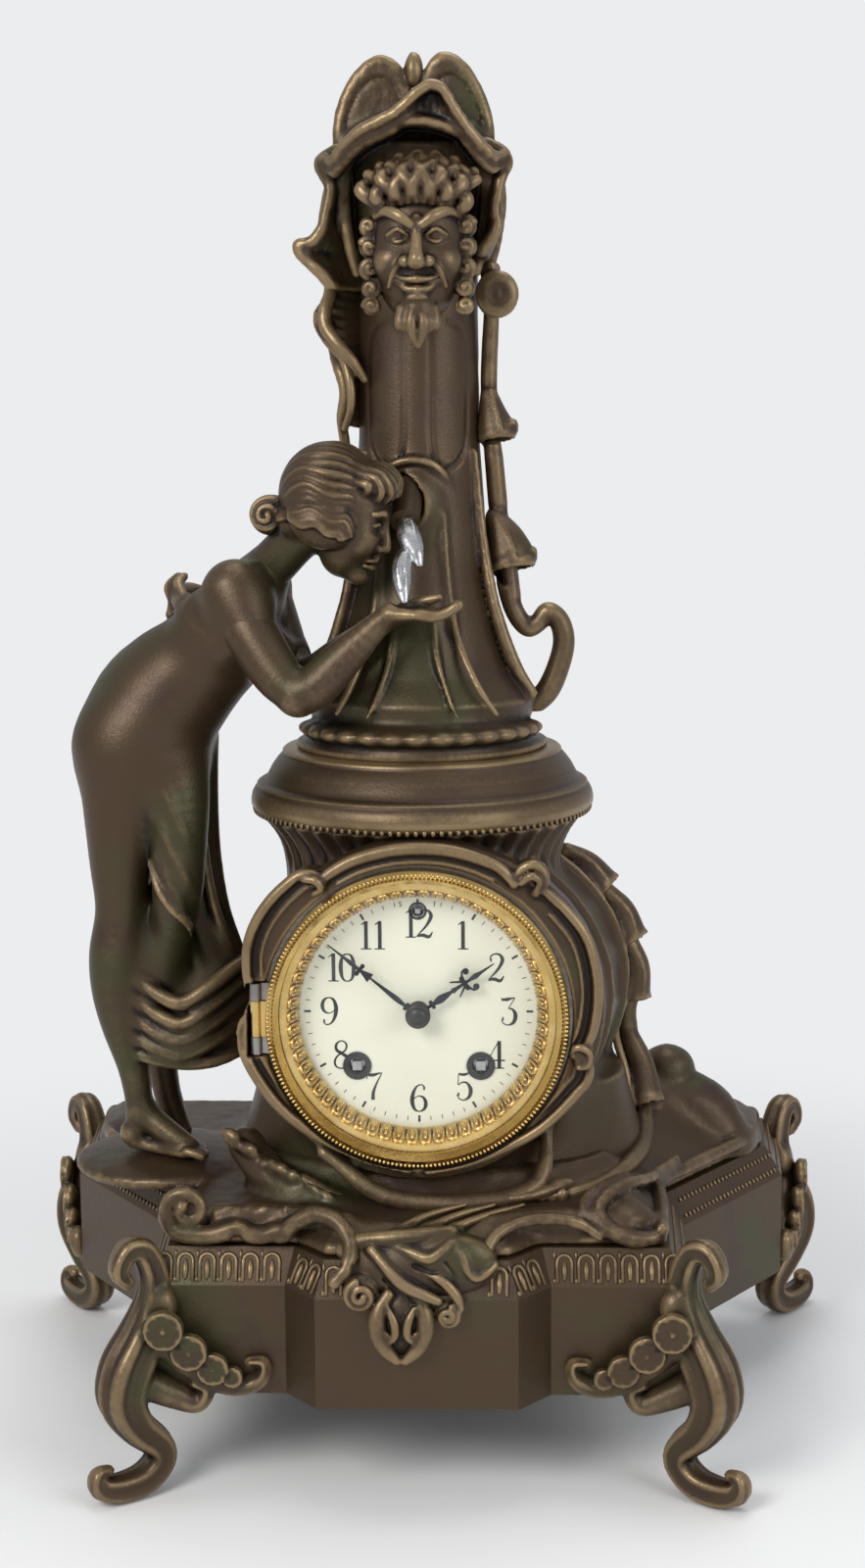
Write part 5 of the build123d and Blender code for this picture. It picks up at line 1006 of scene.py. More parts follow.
def drumClay():
    clay = Clay((-94, -84, 104), (114, 50, 284), drum["pitch"])
    x, y, z = clay.grid()
    mx, wide, mz, tall = barrelAt(y)
    barrel = (np.sqrt(((x - mx) / wide) ** 2 + ((z - mz) / tall) ** 2) - 1) * drum["radius"]
    clay.press(shared(barrel, drum["front"] - y, y - drum["rear"]), 0.5)
    u = np.clip((z - 118) / 44, 0, 1)
    a, b = 92 - 12 * u, 59 - 5 * u
    skirt = (np.sqrt(((x - 8) / a) ** 2 + (y / b) ** 2) - 1) * 58
    clay.press(shared(skirt, z - 158, 106 - z, y - drum["rear"]), 12)
    w = np.clip((z - 252) / 23, 0, 1) ** 2
    neck = (np.sqrt((x / (60 + 11 * w)) ** 2 + (y / (52 + 14 * w)) ** 2) - 1) * 56
    flute = 1.1 * np.cos(np.arctan2(y, x) * 40) * np.clip((z - 246) / 10, 0, 1)
    clay.press(shared(neck + flute, z - 274.8, 228 - z, y - drum["rear"] - 24 * w), 6)
    for back, size, ends in ((-34, 2.4, (62, -66)), (2, 2.6, (60, -58)),
                             (-34, 2.0, (176, 222)), (4, 2.2, (170, 214))):
        clay.stroke([(*onBarrel(a, back + 10 * cos(radians(a)), 0.6), size) for a in np.linspace(*ends, 9)], 2.2)
    ribbon = [(*onBarrel(a, -48 + 0.1 * a, 0.8), 2.6) for a in (-44, -30, -14, 4, 22, 40)]
    clay.stroke([(-40, -70, 140, 3), (-14, -76, 123, 4), (22, -76, 120, 4.4), (50, -68, 126, 4)] + ribbon, 3)
    clay.stroke([(-50, -64, 126, 3), (-24, -72, 116, 3.6), (12, -76, 113, 4), (48, -70, 114, 3.6),
                 (74, -56, 120, 3)], 3)
    r = np.sqrt(x ** 2 + (z - drum["dialZ"]) ** 2)
    (seatY, seat), (panY, pan), (endY, inside) = drum["bezelSeat"], drum["panSeat"], drum["inside"]
    bore = np.where(y < seatY, seat, np.where(y < panY, pan, np.where(y < endY, inside, drum["coverBore"])))
    walled = np.minimum(bore - r, -barrel - drum["wall"])  # leaves a wall all round
    clay.cut(np.where((y > panY) & (y < endY), walled, bore - r), 0.3)
    clay.cut(-hingeNotch(x, y, z), 0.3)
    clay.cut(np.broadcast_to(np.maximum(z - drum["top"], drum["foot"] - z), clay.field.shape), 0.2)
    return clay


def towardsDial(px, pz, y, share):           # a point of the frame drawn in towards the dial's middle
    return px * share, y, drum["dialZ"] + (pz - drum["dialZ"]) * share


def frameClay():                             # scrolled front of the drum round the bezel
    clay = Clay((-84, -84, 122), (84, -58, 282), drum["framePitch"])
    clay.slab(frameOutline, 1, -74.6, -60, 2.5, 0.5)
    left = [(-68, 207), (-70, 219), (-69.5, 230), (-66, 240), (-60, 249), (-53, 256), (-47, 260), (-41, 259.5),
            (-38.5, 256)]
    top = [(-40, 257), (-35, 261), (-27, 265.5), (-18, 268.5), (-8, 270.5), (3, 271), (14, 270), (25, 267),
            (34, 263), (40, 257)]
    curl = [(40, 256), (43, 262), (48, 264), (52, 261), (52, 256), (49, 252.5)]
    right = [(52, 254), (60, 246.5), (68, 236.5), (72, 226.5), (74, 214), (73.5, 202), (71, 191.5), (66, 185),
            (62, 186)]
    low = [(67, 182), (71, 179), (70, 173), (66, 168), (59, 160), (50, 152), (38, 145), (22, 138), (4, 134)]
    hook = [(-65, 201), (-70, 200), (-73, 195), (-71.5, 184), (-66, 173), (-58, 162), (-48, 153), (-36, 146),
            (-20, 139), (-4, 135)]
    for line, size in ((left, 2.6), (top, 2.9), (curl, 2.4), (right, 2.6), (low, 2.3), (hook, 2.5)):
        fade = [size * (0.75 + 0.25 * sin(pi * (i + 0.5) / len(line))) for i in range(len(line))]
        clay.stroke([(px, -76.0, pz, q) for (px, pz), q in zip(line, fade)], 0.7)
        clay.stroke([(*towardsDial(px, pz, -75.0, 0.92), 0.9) for px, pz in line[1:-1]], 0.7)
    for rows in (left, right):  # hollow between the rim and its inner bead
        clay.stroke([(*towardsDial(px, pz, -77.0, 0.958), 1.5) for px, pz in rows[1:-1]], 0.8, carve=True)
    clay.ball((68, -76.5, 182), (3.4, 2.4, 4.2), 0.8)
    clay.ball((-70, -76, 197), (3.6, 2.6, 3.2), 0.8)
    clay.stroke([(63, -77, 186, 1.4), (67, -78.4, 188, 1.7), (71, -78, 185, 1.5), (70, -78.4, 180, 1.3),
            (66, -78.2, 179, 1.0)], 0.5)
    clay.stroke([(43, -77.4, 257, 1.5), (47, -78.6, 260, 1.8), (50.5, -78, 257.5, 1.5), (49, -78, 253.5, 1.1)], 0.5)
    clay.stroke([(-46, -77.4, 258.5, 1.5), (-41, -78.4, 258, 1.8), (-39, -78, 254.5, 1.5),
            (-42, -78, 252.5, 1.1)], 0.5)
    x, y, z = clay.grid()
    r = np.sqrt(x ** 2 + (z - drum["dialZ"]) ** 2)
    clay.cut(np.where(y < drum["bezelSeat"][0], drum["bezelSeat"][1], drum["panSeat"][1]) - r, 0.3)
    hx, hy = drum["hinge"]
    radius, halfWide, middleY, halfDeep = drum["bezel"]
    for swing in range(10, drum["swing"] + 1, 10):  # room for the bezel to swing open
        c, s = cos(radians(swing)), sin(radians(swing))
        px, py = hx + (x - hx) * c - (y - hy) * s, hy + (x - hx) * s + (y - hy) * c
        ring = np.abs(np.sqrt(px ** 2 + (z - drum["dialZ"]) ** 2) - radius) - halfWide
        clay.cut(-np.maximum(ring, np.abs(py - middleY) - halfDeep), 0.3)
    clay.cut(-hingeNotch(x, y, z), 0.3)
    return clay


def stalkClay():
    clay = Clay((46, -78, 104), (122, 50, 266), drum["stalkPitch"])
    stem = [onBarrel(a, 25, 2.4) for a in (54, 44, 32, 20, 8, -4, -14)]
    stem += [(93, 24, 160), (96, 20, 146), (98.5, 12, 134), (98, -2, 127), (95, -18, 123.5), (87, -37, 121.5),
            (76, -53, 120), (65, -63, 120), (58, -67, 119.5)]
    sizes = [3.0, 4.0, 4.4] + [4.6] * 6 + [4.5, 4.4, 4.2, 4.0, 3.6, 3.0, 2.0]
    clay.stroke([(*spot, q) for spot, q in zip(stem, sizes)], 1.5)
    inner = [onBarrel(a, 15, 1.2) for a in (56, 40, 24, 8, -8, -20)] + [(91, 12, 150), (93, 4, 134), (90, -16, 126),
            (76, -46, 121)]
    clay.stroke([(*spot, 2.0) for spot in inner], 1.5)
    for top, low in ((50, 35), (31, 15), (11, -6)):  # sheaths flare downwards to a point
        first, mid, last = (np.array(onBarrel(a, 23, 2.6)) for a in (top, 0.5 * (top + low), low))
        sheath(clay, first, mid, last)
    sheath(clay, np.array((93, 24, 164)), np.array((96, 21, 152)), np.array((99, 15, 139)))
    clay.stroke([(*spot, q * 0.96) for spot, q in zip(stem, sizes)], 0.6)
    for k in range(4):  # frilled root
        clay.ball((60 - 4.4 * k, -68 - 0.8 * k, 121), (2.6, 2.0, 3.2 - 0.4 * k), 0.5)
    return clay


def sheath(clay, first, mid, last):
    way = unit(last - first)
    out = unit(np.cross((0, 1, 0), way))
    out = out if out[0] > 0 else -out
    clay.stroke([(*first, 4.8), (*(mid + out), 7.0), (*last, 8.8)], 0.5)
    clay.ball(last + way * 7.5, (8.0, 8.6, 8.0), 0.6, carve=True)  # open underneath
    tip = last + out * 7 + way * 3.5
    clay.stroke([(*(last + out * 3 - way * 5), 4.0, 2.0), (*(last + out * 6 - way * 0.5), 3.2, 1.7),
            (*(tip + out * 1.5), 1.2, 0.9)], 0.8, side=(0, 1, 0))
    for lean in (-0.5, 0.6):  # ribs of the sheath
        side = np.array((0, -1, 0)) * 0.8 + out * lean
        clay.stroke([(*(first + side * 4.6), 0.7), (*(mid + out + side * 6.9), 0.9),
                (*(last + side * 8.4), 0.8)], 0.5)


sculpted("drum_case_cast", drumClay(), bronze, ["drum_case"], settle=3, rough=[(9, 0.18, 6)])
sculpted("dial_frame_cast", frameClay(), bronze, [], settle=1)
sculpted("reed_stalk_cast", stalkClay(), bronze, ["reed_stalk"])
print("drum done")


# cap and fountain column
column = {"pitch": 1.1,
          "profile": [(302, 46), (312, 46), (319, 49), (325, 51), (330, 48), (336, 44), (342, 41), (355, 36.5),
                      (375, 31.2), (405, 27.8), (435, 25.9), (475, 25.4), (512, 25.4)],
          "foot": 303.2, "top": 505, "steps": ((55, 0, 306.2, 1.0), (51, -3, 309.6, 1.5)),  # radius, y, top, blend
          "lip": (46.0, 42.0), "lipY": -12.0, "lipZ": 313.5, "scallops": 15,
          "shell": [(300, 0.86), (308, 0.90), (312, 1.0), (316, 0.98), (319, 0.91), (325, 0.82), (333, 0.74),
                    (345, 0.66), (360, 0.60), (375, 0.52), (388, 0.40), (396, 0.25)]}


def closedLathe(profile, segments, at=None):  # closed profile turned round Z, or to where at(r, h, a) puts it
    at = at or (lambda r, h, a: (r * cos(a), r * sin(a), h))
    profile = profile + profile[:1]
    rows, verts, quads = len(profile), [], []
    for i in range(segments):
        verts += [at(r, h, 2 * pi * i / segments) for r, h in profile]
        j = (i + 1) % segments
        quads += [(i * rows + k, j * rows + k, j * rows + k + 1, i * rows + k + 1) for k in range(rows - 1)]
    return np.array(verts, float), np.array(quads)


capProfile = [(2.0, 275.0), (58, 275.0), (66, 275.1), (70.5, 275.6), (73.6, 276.8), (75, 278.8), (75, 281),
        (74.4, 283.6), (73.4, 285.4), (72.6, 286.0), (72.4, 287.4), (71.2, 288.2), (69.6, 288.6), (68.6, 289.4),
        (67.2, 292), (65.6, 295), (63.4, 298), (61.6, 300), (61.0, 300.6), (61.0, 301.8), (60.2, 302.6),
        (58.8, 303), (2.0, 303)]


def columnClay():
    clay = Clay((-62, -62, 301), (62, 62, 508), column["pitch"])
    x, y, z = clay.grid()
    heights, radii = zip(*column["profile"])
    r = np.interp(z, heights, radii)
    d = np.sqrt(x ** 2 + y ** 2) - r
    clay.press(shared(d, column["foot"] - z, z - column["top"]), 0.5)
    for radius, my, top, blend in column["steps"]:
        disc = np.sqrt(x ** 2 + (y - my) ** 2) - radius
        clay.press(shared(disc, column["foot"] - z, z - top), blend)
    a, b = column["lip"]
    levels, shares = zip(*column["shell"])
    share = np.interp(z, levels, shares)
    shell = (np.sqrt((x / (a * share)) ** 2 + ((y - column["lipY"]) / (b * share)) ** 2) - 1) * 40 * share
    clay.press(shared(shell, z - 396, 308.5 - z), 4)
    for i in range(column["scallops"]):  # scalloped lip of the basin
        s = pi * (1 + (i + 0.5) / column["scallops"])
        clay.ball((a * cos(s), column["lipY"] + b * sin(s), column["lipZ"] - 0.5), (7.0, 6.4, 3.4), 2.0)
    for rows in ([(11, -26, 404, 1.0), (12.5, -30, 376, 1.5), (17, -38, 352, 1.8), (25, -45, 334, 1.8),
                  (33, -47, 322, 1.2)],
                 [(-17, -24, 400, 1.0), (-17, -28, 376, 1.5), (-21, -35, 352, 1.8), (-28, -42, 334, 1.8),
                  (-34, -44, 322, 1.2)],
                 [(6, -34, 366, 0.8), (8, -41, 346, 1.4), (13, -49, 330, 1.2), (17, -52, 321, 0.8)],
                 [(-10, -34, 362, 0.8), (-12, -41, 344, 1.4), (-17, -47, 329, 1.2), (-21, -50, 321, 0.8)],
                 [(24, -14, 430, 1.2), (27, -16, 396, 2.0), (32, -20, 366, 2.6), (40, -22, 342, 2.8),
                  (48, -20, 328, 2.4)],
                 [(-24, -14, 430, 1.2), (-27, -16, 396, 2.0), (-32, -18, 366, 2.6), (-40, -18, 342, 2.8),
                  (-48, -14, 328, 2.4)]):
        clay.stroke(rows, 2.6)
    for side in (-1, 1):  # engraved panels under the mask
        line = [(side * 13, 484), (side * 20, 478), (side * 21, 452), (side * 19.5, 432), (side * 13, 424),
                (side * 6.5, 430), (side * 5.8, 458), (side * 5.6, 484)]
        clay.stroke([(px, -math.sqrt(max(25.5 ** 2 - px ** 2, 1)) - 0.4, pz, 1.0) for px, pz in line], 0.8,
                carve=True)
    clay.ball((-2, -23, 408), (13, 9, 15), 3)
    clay.stroke([(-18, -19, 394, 1.2), (-18.5, -20, 412, 1.6), (-13, -25, 423, 1.7), (-3, -27.5, 427, 1.8),
            (8, -26, 424, 1.7), (14, -21, 413, 1.6), (14, -20, 394, 1.2)], 1.2)
    clay.stroke([(-5, -22, 414, 8.4), (-5, -42, 400, 7.0)], 0.8, carve=True)
    return clay


sculpted("cornice_cap_cast", closedLathe(capProfile, 160), bronze, ["cornice_cap"])
sculpted("fountain_column_cast", columnClay(), bronze, ["fountain_column"], rough=[(8, 0.15, 8)])
print("column done")


# hood, mask and vines
crest = {"hoodPitch": 0.95, "maskPitch": 0.62, "vinePitch": 0.85, "waterPitch": 0.6, "mask": (1.5, -38.0, 512.0),
         "maskBack": -25.9, "hoodLow": 497}


def brimAt(x):                               # height and reach of the wavy brim
    z = np.interp(x, [-34, -31, -26, -21, -14, -8, -3, 3, 8, 13, 16, 21, 28, 33],
                  [547, 550, 555, 558.5, 561.5, 564, 568, 573.5, 576, 573.5, 567.5, 560, 552, 548])
    return z, -28 - 22 * math.sqrt(max(1 - (x / 36) ** 2, 0))


def hoodClay():
    clay = Clay((-56, -66, 488), (58, 34, 600), crest["hoodPitch"])
    x, y, z = clay.grid()
    t = np.clip((z - 505) / 42, 0, 1)
    body = (np.sqrt((x / (26.5 + 6 * t)) ** 2 + (y / (25.5 + 1 * t)) ** 2) - 1) * 26
    clay.press(shared(body, 505.2 - z, z - 556), 0.5)
    leftLobe = [(-35.5, 554), (-35, 567), (-32, 577), (-27, 586), (-20.5, 592), (-14.5, 594), (-9.5, 592),
            (-5.5, 588), (-2, 580), (0, 566), (0, 546), (-31, 545)]
    rightLobe = [(33, 554), (32, 567), (28.5, 578), (23.5, 587), (17.5, 593), (11.5, 595), (7, 593), (3.5, 588),
            (1, 580), (0, 566), (0, 546), (29, 545)]
    for lobe, middle in ((leftLobe, (-17, 566)), (rightLobe, (15.5, 566))):
        smooth = curvePoints(lobe + lobe[:1], 4)[:-1]
        clay.slab(smooth, 1, -6, 8, 3.0, 2.0)
        mx, mz = middle
        panel = [(mx + 0.69 * (px - mx), mz - 1 + 0.69 * (pz - mz)) for px, pz in smooth]
        for face in (-6.0, 8.0):
            clay.slab(panel, 1, face - 0.5, face + 0.5, 0.2, 0.4, carve=True)
            clay.stroke([(px, face, pz, 0.9) for px, pz in panel[:36]], 0.5, carve=True, steps=1)
    clay.ball((-1, -4, 587.5), (3.9, 4.6, 7.4), 0.6)
    clay.ball((0, -6, 556), (29, 17, 13), 5)
    upper, lower = [], []
    for px in np.linspace(-33, 32, 27):
        pz, reach = brimAt(px)
        low = min(pz - 4.5, 562 - 0.012 * px ** 2)
        hollow = 7 * math.exp(-((px - 7) / 7) ** 2)  # the fold under the peak is hollow
        clay.stroke([(px * 0.86, -4, pz + 2 - 0.1 * abs(px), 2.4), (px * 0.95, 0.5 * reach, pz + 1.6, 2.4),
                (px, reach + 1, pz, 1.9)], 2.4)
        clay.stroke([(px, reach + 1.5 + hollow, pz, 2.0), (px * 0.99, reach + 2.5 + hollow, 0.5 * (pz + low), 2.0),
                (px * 0.98, reach + 4 + 0.6 * hollow, low, 2.0)], 1.6)
        upper.append((px, reach + 0.4, pz, 2.0))
        clay.stroke([(px * 0.86, -4, low + 4, 2.2), (px, reach + 5, low, 1.9)], 2.0)
        lower.append((px * 0.98, reach + 3.2, low, 1.8))
    for line, drop in ((upper, 0), (lower, 3)):  # both edges run on into the side curls
        ends = [(-37.5, -29, 549 - drop, 2.0)], [(37, -29, 550 - drop, 2.0)]
        clay.stroke(ends[0] + line + ends[1], 1.3, steps=2)
    left = [(-32, 553, 5), (-38, 549, 6), (-38, 545, 7), (-34.5, 538, 8), (-36, 529, 8), (-38.5, 521, 7),
            (-43, 516, 5), (-48, 515, 3), (-47, 511.5, 3), (-42, 506.5, 4), (-37.5, 502, 4), (-34, 497, 3)]
    right = [(29, 555, 5), (35, 552, 6), (37.5, 547, 7), (35, 541, 8), (33.5, 534, 8), (32.5, 528, 8),
            (33.5, 523, 7), (31, 517, 6), (27, 512, 4)]
    for side, line in ((-1, left), (1, right)):  # sides of the hood hang as cloth from brim to shoulder
        for px, pz, q in curvePoints(line, 3):
            clay.stroke([(px, -27 + 0.4 * abs(q - 6), pz, 2.3), (0.5 * (px + side * 29), -19, pz - 1, 2.5),
                    (side * 25, -6, pz - 2, 3.0)], 2.0)
        clay.stroke([(px * 1.01, -28 + 0.5 * (8 - q), pz, 2.3) for px, pz, q in line], 1.0)
        clay.stroke([(side * 28, -24, 552, 2.6), (side * 30, -23, 535, 2.8), (side * 28, -22, 518, 2.6),
                (side * 25, -20, 504, 2.0)], 2)
        clay.stroke([(side * 31, -10, 552, 3.4), (side * 34, -7, 535, 3.6), (side * 32, -5, 517, 3.4),
                (side * 29, -4, 503, 2.6)], 2.5)
    clay.floorAt(crest["hoodLow"], 0.3)
    return clay


def maskClay():
    ox, oy, oz = crest["mask"]
    clay = Clay((ox - 34, -68, 466), (ox + 34, -22, 558), crest["maskPitch"])

    def lump(px, py, pz, radii, blend=2.0, carve=False):
        clay.ball((ox + px, oy + py, oz + pz), radii, blend, carve)

    def line(rows, blend=1.0, carve=False):
        clay.stroke([(ox + px, oy + py, oz + pz, q) for px, py, pz, q in rows], blend, carve)

    lump(0, 2, 4, (20, 17, 27), 2)
    lump(0, 0, -14, (14, 15, 15), 8)
    lump(0, -11, -24, (6, 5.5, 5), 5)  # chin
    for side in (-1, 1):
        lump(side * 10.5, -8, -5, (7, 7, 6.5), 5)  # cheeks
        lump(side * 8.2, -17.5, 5.5, (5.2, 4, 3.4), 3, True)
        lump(side * 7.8, -11.2, 5.0, (4.0, 3.6, 3.4), 0.8)
        line([(side * 3.6, -14.6, 4.6, 0.8), (side * 7.6, -15.6, 7.2, 1.0), (side * 12.2, -12.4, 5.0, 0.7)], 0.8)
        line([(side * 4.0, -14.4, 3.4, 0.7), (side * 8.0, -14.6, 2.2, 0.8), (side * 12.0, -12.0, 3.8, 0.6)], 0.8)
        line([(side * 2.6, -18.0, 9.0, 1.9), (side * 7.0, -17.4, 12.2, 2.5), (side * 12.6, -13.4, 14.4, 2.2),
                (side * 17.0, -8.0, 12.6, 1.2)], 1.8)  # brows
        lump(side * 4.4, -18.0, -5.6, (2.9, 3.0, 2.5), 1.6)  # nose wings
        line([(side * 6.0, -16.4, -5.0, 0.9), (side * 9.6, -14.6, -10, 1.0), (side * 11.6, -11.4, -15.4, 0.8)], 1.6)
        line([(0, -17.6, -12.6, 1.5), (side * 5, -16.2, -12.6, 1.4), (side * 10.4, -12.2, -10.8, 0.9)], 1.0)
        line([(0, -16.4, -16.8, 1.7), (side * 4.6, -15.2, -16.0, 1.4), (side * 9.6, -12.0, -12.0, 0.8)], 1.0)
        for k in range(3):  # parted beard
            line([(side * (1.5 + 2.4 * k), -13.6 + k, -24, 2.4), (side * (2.6 + 2.2 * k), -14.5 + k, -30, 2.4),
                    (side * (1.4 + 1.6 * k), -13.6 + k, -35 + 2 * k, 1.8),
                    (side * (0.4 + 1.0 * k), -12 + k, -39 + 4 * k, 1.0)], 0.6)
        # curls round the ears
        for pz, r, begin in ((9, 3.4, 0.5), (1, 3.6, 2.6), (-7.5, 3.6, 4.4), (-15.5, 3.2, 1.0), (-22.5, 2.8, 3.0)):
            px = side * (19.5 + 0.02 * pz)
            clay.stroke(spiral((ox + px, oy - 4.5, oz + pz), (r, 1.7), (0.8, 1.2), 1.4, -2.4, side, 1, begin), 0.4)
            lump(px, -1, pz, (r + 1.0, 4.0, r + 1.0), 0.8)
    line([(0, -16.0, 11, 2.2), (0, -18.4, 4, 2.1), (0, -21.6, -2, 2.6), (0, -22.6, -5, 3.2)], 2.0)
    lump(0, -20.6, -6.4, (3.4, 3.4, 2.6), 1.4)
    line([(-10.4, -13.0, -11.4, 0.45), (0, -18.6, -14.6, 0.5), (10.4, -13.0, -11.4, 0.45)], 0.6, True)
    lump(0, -15.2, -19.6, (4.5, 2.6, 1.6), 1.4)
    for k in range(11):  # tousled locks that rise from the brow
        s = (k - 5) / 5
        px, curl = 19 * s, (-1) ** k * (3.0 + 1.5 * abs(s))
        line([(px * 0.82, -14.5 + 6 * s * s, 19 - 5 * s * s, 2.2),
                (px * 0.95 + 0.4 * curl, -16.5 + 7 * s * s, 24 - 6 * s * s, 3.2),
                (px * 1.05 - 0.5 * curl, -15.5 + 7 * s * s, 29 - 6 * s * s, 3.2),
                (px * 1.1 + 0.7 * curl, -11.5 + 6 * s * s, 33 - 6 * s * s, 2.2)], 0.6)
        line([(px * 0.9 + 2, -12 + 6 * s * s, 24 - 5 * s * s, 2.4),
                (px + 2 - 0.6 * curl, -10 + 6 * s * s, 32 - 6 * s * s, 2.6),
                (px + 2 + 0.4 * curl, -3, 37 - 7 * s * s, 2.4)], 0.8)
    lump(0, 4, 24, (20, 12, 12), 1.5)  # hair that runs back under the brim
    clay.cut(np.broadcast_to(clay.grid()[1] - crest["maskBack"], clay.field.shape), 0.3)
    return clay


def rightVine():
    clay = Clay((16, -32, 318), (72, 14, 514), crest["vinePitch"])
    clay.stroke([(32, -6, 506, 3), (31, -4, 486, 3.4), (30, -2, 466, 3.6), (30, -2, 452, 3.6), (31.5, -2, 432, 3.8),
            (33.5, -2, 408, 4.0), (36, -2, 380, 4.2), (40, -2, 363, 4.2), (46, -2, 354.5, 4.2),
            (51, -2, 356.5, 4.2), (55, -2, 361, 4.4), (60, -2, 357, 4.6), (62, -2, 348, 4.8), (59.5, -2, 337, 5.0),
            (55, -2, 327, 5.2), (49, -2, 321, 5.0)], 1.2)
    for top, middle, low, size in (((30, 453), (31.5, 445), (33, 438), 8.6),
                                   ((32, 402), (36.5, 393), (39, 384), 11.0)):
        clay.stroke([(top[0], -4, top[1], 4.0), (middle[0], -5, middle[1], size * 0.72),
                (low[0], -5, low[1], size)], 0.8)
        # open bell
        clay.ball((low[0] + 1, -6, low[1] - 5), (size * 0.86, size * 0.86, size * 0.62), 0.8, carve=True)
        clay.stroke([(low[0] + size * 0.5, -9, low[1] + 3, 2.0), (low[0] + size * 0.86, -8, low[1] + 4, 1.8),
                (low[0] + size * 0.95, -6, low[1] + 0.5, 1.3)], 0.8)
        clay.stroke([(top[0] + 1, -8, top[1], 0.9), (middle[0] + 2, -5 - size * 0.74, middle[1], 1.0),
                (low[0] + 2, -5 - size * 0.96, low[1] + 1, 0.9)], 0.7)
    clay.stroke([(31.5, -2, 432, 3.8), (33.5, -2, 408, 4.0)], 1.0)
    clay.stroke([(37, -2, 390, 3.8), (39.5, -2, 368, 4.0)], 1.0)
    clay.ball((33.5, -17, 495), (9.2, 3.6, 10), 1.0)
    clay.ball((34.5, -22, 495), (6.2, 3.0, 7), 0.8, carve=True)
    clay.stroke([(31, -12, 506, 2.6), (32.5, -16, 501, 2.2), (34, -19, 494, 1.0)], 1.0)
    return clay


def leftVine():
    clay = Clay((-56, -30, 420), (-12, 14, 560), crest["vinePitch"])
    for t in np.linspace(0, 1, 16):  # cloth that hangs on under the hood, close to the column
        pz = 506 - 62 * t
        clay.stroke([(-38 + 6 * t + 1.5 * sin(9 * t), -13 + 4 * t, pz, 1.6), (-31, -8, pz - 1, 1.8),
                (-25, -2, pz - 2, 2.2)], 2.0)
    clay.stroke([(-33, 0, 552, 3), (-37, -2, 536, 3.4), (-39, -4, 520, 3.4), (-37, -8, 503, 3.0),
            (-36.5, -14, 496, 2.8), (-38.5, -18, 489, 3.0), (-38, -20, 482, 3.0), (-33, -23, 475, 2.7),
            (-27, -22.5, 468, 2.4), (-22, -19, 460, 1.6)], 1.0)
    clay.stroke([(-38, -12, 493, 2.2, 1.6), (-40, -14, 486, 4.4, 1.8), (-37, -16, 478, 4.0, 1.8),
            (-31, -16, 470, 3.0, 1.5), (-26, -16, 462, 1.6, 1.0)], 0.9, side=(0.7, 0.5, 0.5))
    clay.stroke([(-37, -8, 484, 2.6), (-34.5, -10, 470, 2.7), (-31, -12, 456, 2.5), (-32.5, -10, 444, 2.4),
            (-31, -6, 430, 2.2)], 1.0)
    clay.stroke([(-34, -12, 474, 1.8), (-29, -17, 462, 2.0), (-28, -17, 450, 1.8), (-31, -13, 440, 1.6)], 0.9)
    return clay


def waterClay():
    clay = Clay((-18, -74, 362), (14, -30, 412), crest["waterPitch"])
    clay.stroke([(-5, -38, 403, 3.0, 2.2), (-3.5, -44, 398, 4.8, 2.8), (-1, -49, 391.5, 4.4, 2.6),
            (1.4, -52, 385, 1.8, 1.4)], 0.8, side=(1, 0, 0))
    clay.stroke([(-3.5, -49, 392, 2.2, 1.6), (-5.6, -53.5, 385.5, 4.0, 2.6), (-5.4, -58, 377.5, 3.7, 2.4),
            (-4.4, -61, 370.4, 1.7, 1.4)], 0.8, side=(1, 0, 0))
    for k in (-1, 0, 1):  # streaks of the twisted stream
        clay.stroke([(-4 + 1.5 * k, -41, 404, 0.5), (-2.6 + 2 * k, -47.4, 397.5, 0.7),
                (0.2 + k, -52, 390, 0.5)], 0.4)
        clay.stroke([(-4.6 + k, -52.6, 390.5, 0.4), (-5.6 + 1.7 * k, -57.2, 384, 0.7),
                (-5 + k, -61, 375.5, 0.5)], 0.4)
    return clay


sculpted("shell_hood_cast", hoodClay(), bronzeStippled, ["shell_hood"], rough=[(2.4, 0.18, 11)])
sculpted("grotesque_mask_cast", maskClay(), bronze, ["grotesque_mask"], settle=1)
sculpted("vine_left_cast", leftVine(), bronze, ["vine_left"])
sculpted("vine_right_cast", rightVine(), bronze, ["vine_right"])
sculpted("water_stream_cast", waterClay(), silvered, ["water_stream"], slot="silvered")
print("crest done")


# dial print
dial = {"z": drum["dialZ"], "face": -62.0, "lift": 0.12, "numeralRadius": 37.6, "numeralHeight": 12.0,
        "tickIn": 45.7, "tickOut": 47.5, "tickWide": 0.3, "dashIn": 45.2, "dashOut": 48.0, "dashWide": 0.95,
        "spacing": 0.48,
        "letterAngle": 9.0, "letterRadius": 46.4, "letterHeight": 2.3, "regulator": (0.0, 242.0),
        "regulatorRing": (3.3, 1.1)}
roundZero = [(0, .49, .04), (.15, .41, .08), (.22, .15, .14), (.22, -.15, .14), (.15, -.41, .08), (0, -.49, .04),
        (-.15, -.41, .08), (-.22, -.15, .14), (-.22, .15, .14), (-.15, .41, .08), (0, .49, .04)]
six = [[(.2, .36, .05), (.1, .48, .04), (-.08, .42, .06), (-.21, .18, .12), (-.25, -.12, .14), (-.17, -.4, .10),
        (0, -.49, .04), (.17, -.4, .10), (.23, -.2, .13), (.16, 0, .09), (0, .07, .04), (-.15, 0, .03),
        (-.22, -.1, .03)], [(.14, .35, .12), (.20, .35, .12)]]
